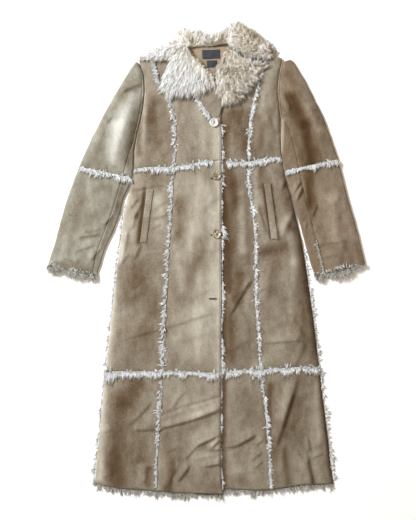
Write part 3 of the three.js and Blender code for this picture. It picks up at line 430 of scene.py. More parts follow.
def front_nap_and_shade(x: Array, y: Array) -> Array:
    """Works out how light the fronts' suede is coloured: strokes of brushing and of painted light and shade,
    and painted light and shade in bands along the edges.

    Args:
        x: Places across.
        y: Places along.

    Returns:
        How light each place is, from about -1 to 1.
    """
    past = x - FRONT_EDGE.at(y)
    # A painted highlight along the buttoned front's edge, and the painted shadow that this edge casts on the
    # left front beside it.
    light = 0.7 * np.exp(-np.abs(past + 7) / 9) * (past < 0.5)
    dark = 0.85 * np.exp(-np.maximum(past, 0) / 11) * (past >= 0.5)
    edge_light_and_shade = (light - dark) * (1 - smooth(345, 400, y)) * (0.35 + 0.65 * smooth(-330, -260, y))
    below_arms = smooth(260, 200, y)
    # Painted light along the right side seam, nearer the lamp, and painted shade along the left one, below
    # the arms.
    edge_light_and_shade = edge_light_and_shade + 0.25 * np.exp(-np.abs(x - RIGHT_SIDE.at(y)) / 8) * below_arms
    edge_light_and_shade = edge_light_and_shade - 0.7 * np.exp(-np.abs(LEFT_SIDE.at(y) - x) / 10) * below_arms
    return strokes(FRONT_NAP_AND_SHADE, x, y) + edge_light_and_shade


def seam_distance(x: Array, y: Array) -> Array:
    """Measures how far places on the fronts are from the nearest seam or edge.

    Args:
        x: Places across.
        y: Places along.

    Returns:
        The distances, in mm.
    """
    away = np.abs(x - RIGHT_SIDE.at(y))
    for seam in (RIGHT_PRINCESS, FRONT_EDGE, LEFT_PRINCESS, LEFT_SIDE):
        away = np.minimum(away, np.abs(x - seam.at(y)))
    on_left = x > FRONT_EDGE.at(y)
    for right, left in zip(RIGHT_ACROSS, LEFT_ACROSS):
        away = np.minimum(away, np.abs(y - np.where(on_left, left.at(x), right.at(x))))
    return away


def calm(x: Array, y: Array, pressed: float = 17.0) -> Array:
    """Tells where the buttons and the lapels press the cloth flat.

    Args:
        x: Places across.
        y: Places along.
        pressed: How far from its middle a button presses.

    Returns:
        1 where the cloth is free, 0 where it is flat.
    """
    free = 1 - smooth(385, 415, y) * smooth(-138, -112, x) * (1 - smooth(152, 172, x))
    for bx, by in BUTTON_PLACES:
        free = free * (1 - np.exp(-((x - bx) ** 2 + (y - by) ** 2) / pressed**2))
    return free


def relief(x: Array, y: Array) -> Array:
    """Shapes the fronts: soft panels between seams, folds and creases.

    Args:
        x: Places across.
        y: Places along.

    Returns:
        How far they stand off the layer below, in mm.
    """
    away = seam_distance(x, y)
    total = PANEL_SWELL * (1 - np.exp(-away / 15)) + strokes(FOLDS, x, y) + creased(FRONT_CREASES, x, y)
    uneven = 0.5 + 0.55 * waves(x, y, 4, 190, 60) + 0.2 * waves(x, y, 9, 46, 22)
    return np.maximum((total + uneven) * (0.06 + 0.94 * calm(x, y)), 0)


def side_roll(x: Array, y: Array) -> Array:
    """How far the fronts curve down towards the side seams."""
    away = np.minimum(np.abs(x - RIGHT_SIDE.at(y)), np.abs(LEFT_SIDE.at(y) - x))
    return 2.4 * np.exp(-away / 9) * smooth(250, 190, y)


def ramp(x: Array, y: Array) -> Array:
    """How far the buttoned front is lifted by the front under it."""
    share = (x - RIGHT_PRINCESS.at(y)) / (FRONT_EDGE.at(y) - RIGHT_PRINCESS.at(y))
    return OVERLAP * smooth(RAMP[0], RAMP[1], share) * (1 - smooth(470, 525, y))


def left_top(x: Array, y: Array) -> Array:
    """The upper face of the left front."""
    return LAYER + CLOTH + relief(x, y) * (0.25 + 0.75 * smooth(30, 60, x)) - side_roll(x, y)


def right_top(x: Array, y: Array) -> Array:
    """The upper face of the right front."""
    lift = np.where(x > RIGHT_PRINCESS.at(y), ramp(x, y), 0)
    return LAYER + CLOTH + relief(x, y) + lift - side_roll(x, y)


def body_top(x: Array, y: Array) -> Array:
    """The upper face of whichever front shows."""
    shown_right = x <= FRONT_EDGE.at(y) + 0.2
    return np.where(shown_right, right_top(x, y), left_top(x, y))


# Meshes


def pattern_origin() -> Array:
    """Finds the pattern's own origin from the lower button's solid.

    Returns:
        Its place in the part's frame, in metres.
    """
    low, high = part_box("button_lower")
    middle = (low + high) / 2
    x, y = BUTTON_PLACES[-1]
    return np.array([middle.x - x * MM, middle.y - y * MM, 0.0])


ORIGIN = pattern_origin()


def mesh_object(
    name: str, points: Array, faces: Sequence[Array], attributes: dict[str, Array] | None = None
) -> bpy.types.Object:
    """Makes a mesh object from points in the pattern's frame.

    Args:
        name: The object's name.
        points: Its points, in mm, one row each.
        faces: Arrays of faces, each with its own number of corners.
        attributes: Values for each point, by name.

    Returns:
        The object, with smooth faces.
    """
    mesh = bpy.data.meshes.new(name)
    mesh.vertices.add(len(points))
    mesh.vertices.foreach_set("co", (points * MM + ORIGIN).astype(np.float32).ravel())
    corners = np.concatenate([f.ravel() for f in faces])
    sizes = np.concatenate([np.full(len(f), f.shape[1]) for f in faces])
    mesh.loops.add(len(corners))
    mesh.loops.foreach_set("vertex_index", corners.astype(np.int32))
    mesh.polygons.add(len(sizes))
    mesh.polygons.foreach_set("loop_start", (np.cumsum(sizes) - sizes).astype(np.int32))
    mesh.update(calc_edges=True)
    mesh.polygons.foreach_set("use_smooth", np.ones(len(sizes), bool))
    for key, values in (attributes or {}).items():
        layer = mesh.attributes.new(key, "FLOAT", "POINT")
        layer.data.foreach_set("value", values.astype(np.float32))
    mesh.validate()
    made = bpy.data.objects.new(name, mesh)
    bpy.context.scene.collection.objects.link(made)
    return made


def border_faces(rows: Array, columns: Array, shape: tuple[int, int]) -> list[Array]:
    """The faces that join the border of a full grid to that of a thinned one behind it.

    Args:
        rows: The full grid's rows that the thinned one keeps.
        columns: The columns that it keeps.
        shape: How many rows and columns the full grid has.

    Returns:
        Faces, in one array for each number of corners.
    """
    down, across = shape
    ring = [(0, c) for c in range(across)] + [(r, across - 1) for r in range(1, down)]
    ring += [(down - 1, c) for c in range(across - 2, -1, -1)] + [(r, 0) for r in range(down - 2, 0, -1)]
    row_at = {int(r): i for i, r in enumerate(rows)}
    column_at = {int(c): i for i, c in enumerate(columns)}
    kept = [i for i, (r, c) in enumerate(ring) if r in row_at and c in column_at]
    behind = {i: down * across + row_at[ring[i][0]] * len(columns) + column_at[ring[i][1]] for i in kept}
    by_size: dict[int, list[list[int]]] = {}
    for start, end in zip(kept, kept[1:] + [kept[0] + len(ring)]):
        front = [ring[i % len(ring)] for i in range(end, start - 1, -1)]
        face = [behind[start], behind[end % len(ring)], *(r * across + c for r, c in front)]
        by_size.setdefault(len(face), []).append(face)
    return [np.array(faces) for faces in by_size.values()]


def grid_faces(down: int, across: int, start: int = 0) -> Array:
    """The four-cornered faces of a grid whose points are numbered row by row."""
    index = np.arange(down * across).reshape(down, across) + start
    return np.stack([index[:-1, :-1], index[:-1, 1:], index[1:, 1:], index[1:, :-1]], -1).reshape(-1, 4)


def shell(outer: Array, inner: Array, thin: int = 3) -> tuple[Array, list[Array]]:
    """A closed shell between two grids, whose inner face is made with fewer points.

    Args:
        outer: The outer face's points, as rows by columns by 3.
        inner: The inner face's points, in the same order.
        thin: The inner face keeps about one row and one column in this many.

    Returns:
        The shell's points and its faces, which are turned outwards.
    """
    down, across = outer.shape[:2]
    rows = np.unique(np.linspace(0, down - 1, max(2, down // thin)).round().astype(int))
    columns = np.unique(np.linspace(0, across - 1, max(2, across // thin)).round().astype(int))
    back = inner[np.ix_(rows, columns)]
    faces = [grid_faces(down, across), grid_faces(len(rows), len(columns), down * across)[:, ::-1]]
    faces += border_faces(rows, columns, (down, across))
    a = outer[:-1, 1:] - outer[:-1, :-1]
    b = outer[1:, :-1] - outer[:-1, :-1]
    if (np.cross(a, b) * (outer - inner)[:-1, :-1]).sum() < 0:
        faces = [f[:, ::-1] for f in faces]
    return np.concatenate([outer.reshape(-1, 3), back.reshape(-1, 3)]), faces


def wall(name: str, outer: Array, inner: Array, nap_and_shade: Array | None = None) -> bpy.types.Object:
    """Makes a closed wall between two grids of points.

    Args:
        name: The object's name.
        outer: The outer face's points, as rows by columns by 3.
        inner: The inner face's points, in the same order.
        nap_and_shade: How light the suede is coloured at each point of the outer face, by brushing and by
            painted light and shade.

    Returns:
        The wall, with its faces turned outwards.
    """
    points, faces = shell(outer, inner)
    values = np.zeros(len(points))
    if nap_and_shade is not None:
        values[: nap_and_shade.size] = nap_and_shade.ravel()
    return mesh_object(name, points, faces, {"nap_and_shade": values})


def shares_for(length: float, spacing: float, edges: Sequence[float] = (0.9, 2.2, 4.5)) -> Array:
    """Shares from 0 to 1 along a length, even in the middle and closer at both ends.

    Args:
        length: The length, in mm.
        spacing: The distance between two shares in the middle.
        edges: Distances from each end that get a share of their own.

    Returns:
        The shares, rising.
    """
    inner = edges[-1] + spacing
    count = max(2, round((length - 2 * inner) / spacing) + 1)
    middle = np.linspace(inner, length - inner, count)
    places = np.concatenate([[0], edges, middle, [length - e for e in reversed(edges)], [length]])
    return places / length


def combine(parts: Sequence[tuple[Array, Array]]) -> tuple[Array, Array]:
    """Joins meshes into one.

    Args:
        parts: The points and the faces of each mesh.

    Returns:
        Those of the joined mesh.
    """
    start, points, faces = 0, [], []
    for p, f in parts:
        points.append(p)
        faces.append(f + start)
        start += len(p)
    return np.concatenate(points), np.concatenate(faces)


# Finishes


def shader(name: str) -> tuple[bpy.types.Material, bpy.types.Node]:
    """Makes a material with one principled shader.

    Args:
        name: The material's name.

    Returns:
        The material and its shader.
    """
    material = bpy.data.materials.new(name)
    material.use_nodes = True
    return material, material.node_tree.nodes["Principled BSDF"]


def node(
    material: bpy.types.Material,
    kind: str,
    inputs: dict[str, Any] | None = None,
    stops: Sequence[tuple[float, str]] = (),
    **settings: Any,
) -> bpy.types.Node:
    """Adds a node with its settings, and sets or links its inputs.

    Args:
        material: The material that gets the node.
        kind: The node's type.
        inputs: Values, or sockets to link from, by input name or number.
        stops: Places and hex colours, where the node has a colour ramp.
        settings: Properties of the node.

    Returns:
        The node.
    """
    made = material.node_tree.nodes.new(kind)
    for key, value in settings.items():
        setattr(made, key, value)
    for key, value in (inputs or {}).items():
        socket = made.inputs[int(key)] if key.isdigit() else made.inputs[key]
        if isinstance(value, bpy.types.NodeSocket):
            material.node_tree.links.new(value, socket)
        else:
            socket.default_value = value
    if stops:
        elements = made.color_ramp.elements
        while len(elements) < len(stops):
            elements.new(0.5)
        for element, (place, code) in zip(elements, stops):
            element.position = place
            element.color = srgb(code)
    return made


@dataclass(frozen=True)
class FauxSuede:
    """Napped polyester suede: matte, coloured lighter and darker by brushing and by painted light and shade,
    with a soft bloom at grazing angles.
    """

    name: str
    stops: tuple[str, str, str, str, str]
    patch_mm: float = 110.0
    streak_mm: float = 15.0
    grain_mm: float = 2.6
    bump: float = 0.4
    wrinkle_mm: float = 34.0
    places: tuple[float, ...] = (0.14, 0.34, 0.5, 0.66, 0.84)

    def build(self) -> bpy.types.Material:
        """Makes the material from a point attribute that holds brushing and painted light and shade, and from
        noises in the piece's own place.
        """
        material, bsdf = shader(self.name)
        place = node(material, "ShaderNodeTexCoord").outputs["Object"]
        nap_and_shade = node(material, "ShaderNodeAttribute", attribute_name="nap_and_shade").outputs["Fac"]
        # Brushing leaves patches a hand's width across, longer down the coat than across it.
        longer = {"Vector": place, "Scale": (1.0, 0.5, 1.0)}
        stretched = node(material, "ShaderNodeMapping", longer).outputs["Vector"]
        start = {"0": nap_and_shade, "1": 0.36, "2": -0.02}
        tone = node(material, "ShaderNodeMath", start, operation="MULTIPLY_ADD").outputs[0]
        # The nap is finer than 0.1 mm, so its grain, the last of the noises, is drawn coarser to show.
        for vector, size_mm, detail, rough, share in (
            (stretched, self.patch_mm, 3.0, 0.55, 0.42),
            (stretched, self.streak_mm, 4.0, 0.65, 0.28),
            (place, self.grain_mm, 3.0, 0.7, 0.38),
        ):
            inputs = {"Vector": vector, "Scale": 1 / (size_mm * MM), "Detail": detail, "Roughness": rough}
            grain = node(material, "ShaderNodeTexNoise", inputs).outputs["Fac"]
            added = {"0": grain, "1": share, "2": tone}
            tone = node(material, "ShaderNodeMath", added, operation="MULTIPLY_ADD").outputs[0]
        stops = tuple(zip(self.places, self.stops))
        colour = node(material, "ShaderNodeValToRGB", {"Fac": tone}, stops)
        material.node_tree.links.new(colour.outputs["Color"], bsdf.inputs["Base Color"])
        # Small wrinkles run slantwise through the cloth, as the folds pull it.
        slant = {"Vector": place, "Rotation": (0, 0, -0.5), "Scale": (0.45, 1.3, 1.0)}
        slanted = node(material, "ShaderNodeMapping", slant).outputs["Vector"]
        inputs = {"Vector": slanted, "Scale": 1 / (self.wrinkle_mm * MM), "Detail": 3.0, "Roughness": 0.5}
        inputs["Distortion"] = 0.4
        wrinkle = node(material, "ShaderNodeTexNoise", inputs, noise_type="RIDGED_MULTIFRACTAL")
        inputs = {"Height": wrinkle.outputs["Fac"], "Strength": 0.6, "Distance": 0.002}
        wrinkled = node(material, "ShaderNodeBump", inputs).outputs["Normal"]
        inputs = {"Height": grain, "Strength": self.bump, "Distance": 0.001, "Normal": wrinkled}
        bump = node(material, "ShaderNodeBump", inputs)
        material.node_tree.links.new(bump.outputs["Normal"], bsdf.inputs["Normal"])
        bsdf.inputs["Roughness"].default_value = 0.94
        bsdf.inputs["Specular IOR Level"].default_value = 0.15
        bsdf.inputs["Sheen Weight"].default_value = 0.22
        bsdf.inputs["Sheen Roughness"].default_value = 0.55
        bsdf.inputs["Sheen Tint"].default_value = srgb("E8DCC8")
        return material


@dataclass(frozen=True)
class FauxFur:
    """Long acrylic pile: with painted shade at its roots, cream along the lock and white at its tips."""

    name: str
    root: str
    low: str
    body: str
    tip: str
    tinge: str = "C9B99B"
    pale: str = "E9E2D4"

    def build(self) -> bpy.types.Material:
        """Makes the material from the attributes "along", a strand's share of its length, and "tone"."""
        material, bsdf = shader(self.name)
        along = node(material, "ShaderNodeAttribute", attribute_name="along").outputs["Fac"]
        tone = node(material, "ShaderNodeAttribute", attribute_name="tone").outputs["Fac"]
        # The colour darkens towards the root as painted shade between the locks.
        stops = ((0.0, self.root), (0.2, self.low), (0.5, self.body), (0.92, self.tip))
        colour = node(material, "ShaderNodeValToRGB", {"Fac": along}, stops).outputs["Color"]
        stops = ((0.0, self.tinge), (0.3, self.pale), (0.6, "FCFAF6"), (0.8, "FFFFFF"))
        shade = node(material, "ShaderNodeValToRGB", {"Fac": tone}, stops).outputs["Color"]
        inputs = {"0": 1.0, "6": colour, "7": shade}
        mixed = node(material, "ShaderNodeMix", inputs, data_type="RGBA", blend_type="MULTIPLY")
        material.node_tree.links.new(mixed.outputs[2], bsdf.inputs["Base Color"])
        bsdf.inputs["Roughness"].default_value = 0.55
        bsdf.inputs["Specular IOR Level"].default_value = 0.35
        bsdf.inputs["Sheen Weight"].default_value = 0.25
        bsdf.inputs["Sheen Roughness"].default_value = 0.4
        return material


@dataclass(frozen=True)
class CastButton:
    """Cast polyester in imitation of horn or shell: cloudy, with a satin polish."""

    name: str
    dark: str
    middle: str
    light: str
    roughness: float = 0.4
    cloud_mm: float = 7.0

    def build(self) -> bpy.types.Material:
        """Makes the material."""
        material, bsdf = shader(self.name)
        place = node(material, "ShaderNodeTexCoord").outputs["Object"]
        inputs = {"Vector": place, "Scale": 1 / (self.cloud_mm * MM), "Detail": 3.0, "Distortion": 1.4}
        cloud = node(material, "ShaderNodeTexNoise", inputs).outputs["Fac"]
        stops = ((0.34, self.dark), (0.5, self.middle), (0.66, self.light))
        colour = node(material, "ShaderNodeValToRGB", {"Fac": cloud}, stops)
        material.node_tree.links.new(colour.outputs["Color"], bsdf.inputs["Base Color"])
        bsdf.inputs["Roughness"].default_value = self.roughness
        bsdf.inputs["IOR"].default_value = 1.54
        bsdf.inputs["Coat Weight"].default_value = 0.15
        bsdf.inputs["Coat Roughness"].default_value = 0.15
        return material


@dataclass(frozen=True)
class WovenTape:
    """Damask label tape: fine satin ribs across, dark and slightly shiny."""

    name: str
    base: str
    rib: str
    rib_mm: float = 0.9

    def build(self) -> bpy.types.Material:
        """Makes the material."""
        material, bsdf = shader(self.name)
        place = node(material, "ShaderNodeTexCoord").outputs["Object"]
        inputs = {"Vector": place, "Scale": 1 / (self.rib_mm * MM) / 2, "Distortion": 0.6}
        rib = node(material, "ShaderNodeTexWave", inputs, bands_direction="Y").outputs["Fac"]
        stops = ((0.2, self.base), (0.9, self.rib))
        colour = node(material, "ShaderNodeValToRGB", {"Fac": rib}, stops)
        material.node_tree.links.new(colour.outputs["Color"], bsdf.inputs["Base Color"])
        bump = node(material, "ShaderNodeBump", {"Height": rib, "Strength": 0.4, "Distance": 0.0003})
        material.node_tree.links.new(bump.outputs["Normal"], bsdf.inputs["Normal"])
        bsdf.inputs["Roughness"].default_value = 0.6
        return material


@dataclass(frozen=True)
class SewingThread:
    """Spun polyester thread: matte, darkened at random in a fine mottle."""

    name: str
    colour: str
    ply_mm: float = 1.2

    def build(self) -> bpy.types.Material:
        """Makes the material."""
        material, bsdf = shader(self.name)
        place = node(material, "ShaderNodeTexCoord").outputs["Object"]
        inputs = {"Vector": place, "Scale": 1 / (self.ply_mm * MM), "Detail": 2.0}
        ply = node(material, "ShaderNodeTexNoise", inputs).outputs["Fac"]
        faint = node(material, "ShaderNodeMath", {"0": ply, "1": 0.45}, operation="MULTIPLY").outputs[0]
        inputs = {"0": faint, "6": srgb(self.colour), "7": srgb("000000")}
        mixed = node(material, "ShaderNodeMix", inputs, data_type="RGBA")
        material.node_tree.links.new(mixed.outputs[2], bsdf.inputs["Base Color"])
        bsdf.inputs["Roughness"].default_value = 0.8
        return material


class Finishes:
    """The coat's materials, each made once."""

    def __init__(self) -> None:
        """Makes them all."""
        tans = ("402D1A", "5C4B38", "7D7262", "9C9484", "BDB7A8")
        self.suede = FauxSuede("tan_faux_suede", tans).build()
        # Lit and shaded copies of the suede for the sleeves, as painted light and shade: a darker, browner
        # copy for the left sleeve and a greyer copy for the right sleeve, nearer the lamp.
        shaded_sleeve_tans = ("3B2610", "56422C", "766755", "958977", "B6AC9B")
        self.shaded_sleeve_suede = FauxSuede("painted_shade_sleeve_suede", shaded_sleeve_tans).build()
        lit_sleeve_tans = ("403022", "5B4E41", "7C7667", "9B988D", "BDBAB1")
        self.lit_sleeve_suede = FauxSuede("painted_light_sleeve_suede", lit_sleeve_tans).build()
        pale = ("5E4932", "7A6750", "8F7E68", "A0917B", "B2A590")
        self.facing = FauxSuede("tan_facing", pale, 60, 14, 2.2, 0.2).build()
        self.fur = FauxFur("cream_long_pile", "CFC9BC", "E9E7E0", "FBFAF8", "FFFFFF").build()
        # A darker copy of the long pile, as painted shade, for the collar's left leaf and the left lapel,
        # further from the lamp.
        colours = ("A89C86", "D3CCBF", "F3F1EC", "FEFEFD", "C5B69A", "E6DFD3")
        self.shaded_fur = FauxFur("shaded_long_pile", *colours).build()
        # The seam, cuff and border piles have grey or dark roots as painted shade between their locks; the
        # border pile's darkest roots are the painted shadow under the hem's and the cuffs' edges.
        colours = ("9A9892", "C8C8C6", "EBEDEE", "FAFCFD", "BBB8B0", "E4E3E0")
        self.seam_fur = FauxFur("white_seam_pile", *colours).build()
        colours = ("4A4539", "8B877A", "BDBAB0", "E6E5E0", "A8A294", "D0CDC5")
        self.cuff_fur = FauxFur("grey_and_shaded_cuff_pile", *colours).build()
        colours = ("3C392E", "7A766A", "BDBBB3", "F4F3F0", "ACA89C", "DBD9D3")
        self.border_fur = FauxFur("shaded_border_pile", *colours).build()
        self.horn = CastButton("horn_look_resin", "43361F", "8F8465", "D8D0B8").build()
        self.pearl = CastButton("pearl_look_resin", "A9ABA6", "D6D6D0", "F2F1EC", 0.25).build()
        self.label = WovenTape("navy_woven_tape", "10151D", "212A36").build()
        self.thread = SewingThread("tan_thread", "9A8460").build()
        # A near-black copy of the thread, as the painted shadow in the buttonholes' slits.
        self.slit_shadow = SewingThread("painted_slit_shadow", "1E1710").build()


def dress(made: bpy.types.Object, material: bpy.types.Material, slot: str, *nodes: str) -> None:
    """Gives a piece its material, its body and the solids that it stands for, and reports it.

    Args:
        made: The piece.
        material: Its material.
        slot: The finish that the material belongs to; not used.
        nodes: The solids' names.
    """
    made.data.materials.clear()
    made.data.materials.append(material)
    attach(made, "root")
    if nodes:
        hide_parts(*nodes)
    log.info("%s: %d faces of %s", made.name, len(made.data.polygons), material.name)


# Cloth


@dataclass(frozen=True)
class Panel:
    """One body panel between two seams that run down and two that run across."""

    node_name: str
    left: SeamLine
    right: SeamLine
    bottom: SeamLine
    top: SeamLine
    surface: Height
    floor: float
    spacing: float = 3.5
    rounding: float = 1.5
    seam_gap: float = 0.3

    def plan(self) -> tuple[Array, Array, Array]:
        """Works out the panel's grid.

        Returns:
            The places across and along of each point, and its distance from the nearest edge, in mm.
        """
        middle_y = (self.bottom.at(0) + self.top.at(0)) / 2
        width = float(self.right.at(middle_y) - self.left.at(middle_y))
        middle_x = float(self.left.at(middle_y)) + width / 2
        length = float(self.top.at(middle_x) - self.bottom.at(middle_x))
        u = shares_for(width, self.spacing)[None, :]
        v = shares_for(length, self.spacing)[:, None]
        half = self.seam_gap / 2
        x = np.zeros((v.size, u.size)) + middle_x
        y = np.zeros_like(x) + middle_y
        # All four edges curve, so each point is brought to its place in small steps.
        for _ in range(14):
            x = (self.left.at(y) + half) * (1 - u) + (self.right.at(y) - half) * u
            y = 0.3 * y + 0.7 * ((self.bottom.at(x) + half) * (1 - v) + (self.top.at(x) - half) * v)
        wide = self.right.at(y) - self.left.at(y)
        away = np.minimum(np.minimum(u, 1 - u) * wide, np.minimum(v, 1 - v) * length)
        return x, y, away

    def build(self, material: bpy.types.Material, rests_on: Sequence[str]) -> None:
        """Makes the panel as a thin shell.

        Args:
            material: Its suede.
            rests_on: What it lies on; not used.
        """
        x, y, away = self.plan()
        height = self.surface(x, y)
        pucker = 0.35 * waves(x, y, 21, 16, 7) * np.exp(-away / 9)
        rounded = self.rounding * np.exp(-away / 1.8)
        outer = np.stack([x, y, height + pucker - rounded], -1)
        low = np.minimum(np.maximum(height - CLOTH, self.floor), outer[..., 2] - 0.5)
        inner = np.stack([x, y, low], -1)
        made = wall(f"suede_{self.node_name}", outer, inner, front_nap_and_shade(x, y))
        dress(made, material, "suede", self.node_name)


ROW_NAMES = ("lower", "middle", "upper")


@dataclass(frozen=True)
class Fronts:
    """The two fronts: centre and side panels in three rows, right over left."""

    finishes: Finishes

    def build(self) -> None:
        """Makes the twelve panels."""
        columns = (
            ("right", "side", RIGHT_SIDE, RIGHT_PRINCESS),
            ("right", "centre", RIGHT_PRINCESS, FRONT_EDGE),
            ("left", "centre", UNDER_EDGE, LEFT_PRINCESS),
            ("left", "side", LEFT_PRINCESS, LEFT_SIDE),
        )
        for i, row in enumerate(ROW_NAMES):
            for side, column, first, second in columns:
                across, surface = (RIGHT_ACROSS, right_top) if side == "right" else (LEFT_ACROSS, left_top)
                name = f"{side}_front_{row}_{column}"
                below = [f"suede_back_{row}"]
                if side == "right" and column == "centre":
                    below.append(f"suede_left_front_{row}_centre")
                panel = Panel(name, first, second, across[i], across[i + 1], surface, LAYER)
                panel.build(self.finishes.suede, below)


@dataclass(frozen=True)
class BlendedLine:
    """A cross seam of the back, which follows that of the front over it on either side."""

    right: SeamLine
    left: SeamLine

    def at(self, x: Array | float) -> Array:
        """The seam's height on the coat at each place across."""
        share = smooth(-60, 20, np.asarray(x, float))
        return self.right.at(x) * (1 - share) + self.left.at(x) * share


BACK_CREASES = (
    (-180, -430, 10, -390, 1.1, 6, 18, 4), (20, -470, 230, -430, 1.0, 6, 18, -4),
    (-210, -180, 60, -140, 0.9, 7, 20, 4), (40, -60, 210, -20, 0.9, 7, 20, 3),
    (-160, 60, -20, 110, 0.9, 7, 20, -3), (-120, 300, 60, 330, 0.9, 7, 20, 5),
    (-20, 430, 130, 400, 0.9, 7, 20, 3), (-240, -520, -120, -560, 1.0, 6, 16, 2),
)


@dataclass(frozen=True)
class Back:
    """The back in three rows, lying on the surface, with shallow creases pressed into its underside."""

    finishes: Finishes

    def build(self) -> None:
        """Makes the three panels."""
        for i, row in enumerate(ROW_NAMES):
            bottom = BlendedLine(RIGHT_ACROSS[i], LEFT_ACROSS[i])
            top = BlendedLine(RIGHT_ACROSS[i + 1], LEFT_ACROSS[i + 1])
            panel = Panel(f"back_{row}", RIGHT_SIDE, LEFT_SIDE, bottom, top, floor_level, 0.0, 7.0)
            x, y, away = panel.plan()
            dent = creased(BACK_CREASES, x, y) * smooth(6, 30, away)
            outer = np.stack([x, y, BACK_THICKNESS - 1.7 * np.exp(-away / 8) + 0 * x], -1)
            inner = np.stack([x, y, np.minimum(dent, 1.6) + 0.3 * np.exp(-away / 2)], -1)
            made = wall(f"suede_back_{row}", outer, inner)
            dress(made, self.finishes.suede, "suede", f"back_{row}")


# Sleeves: y and x of the outer fold, the inner fold and the front seam
RIGHT_OUTER = (
    (522, -182.5), (512, -189), (494, -203), (468, -218), (416, -250), (364, -278), (312, -304),
    (260, -328), (208, -348), (156, -367), (104, -382), (52, -395), (0, -413), (-20, -417),
)
RIGHT_INNER = (
    (517, -182), (481, -167.5), (442, -165.5), (403, -168.5), (364, -175.5), (325, -185.5), (286, -192.5),
    (239, -194), (216, -197), (187, -206), (159, -220), (124, -227), (78, -244), (52, -257), (26, -268),
    (0, -276), (-45, -290),
)
RIGHT_FRONT_SEAM = (
    (325, -187), (276, -205), (229, -218), (164, -237), (124, -249), (55, -276), (18, -289), (-45, -301),
)
LEFT_OUTER = (
    (526, 205), (520, 218), (494, 234), (468, 250), (442, 263), (416, 276), (364, 302), (312, 320),
    (260, 338), (208, 351), (156, 364), (104, 380), (52, 393), (0, 406), (-26, 409),
)
LEFT_INNER = (
    (520, 192.9), (481, 183.9), (442, 180), (403, 183.9), (364, 188.8), (325, 188.6), (286, 189.2),
    (247, 194), (208, 204), (169, 217.5), (117, 232), (55, 249), (28, 255), (-45, 277),
)
LEFT_FRONT_SEAM = (
    (373, 192), (337, 211), (283, 226), (245, 234), (207, 242), (158, 253), (100, 268), (62, 278), (-45, 305),
)


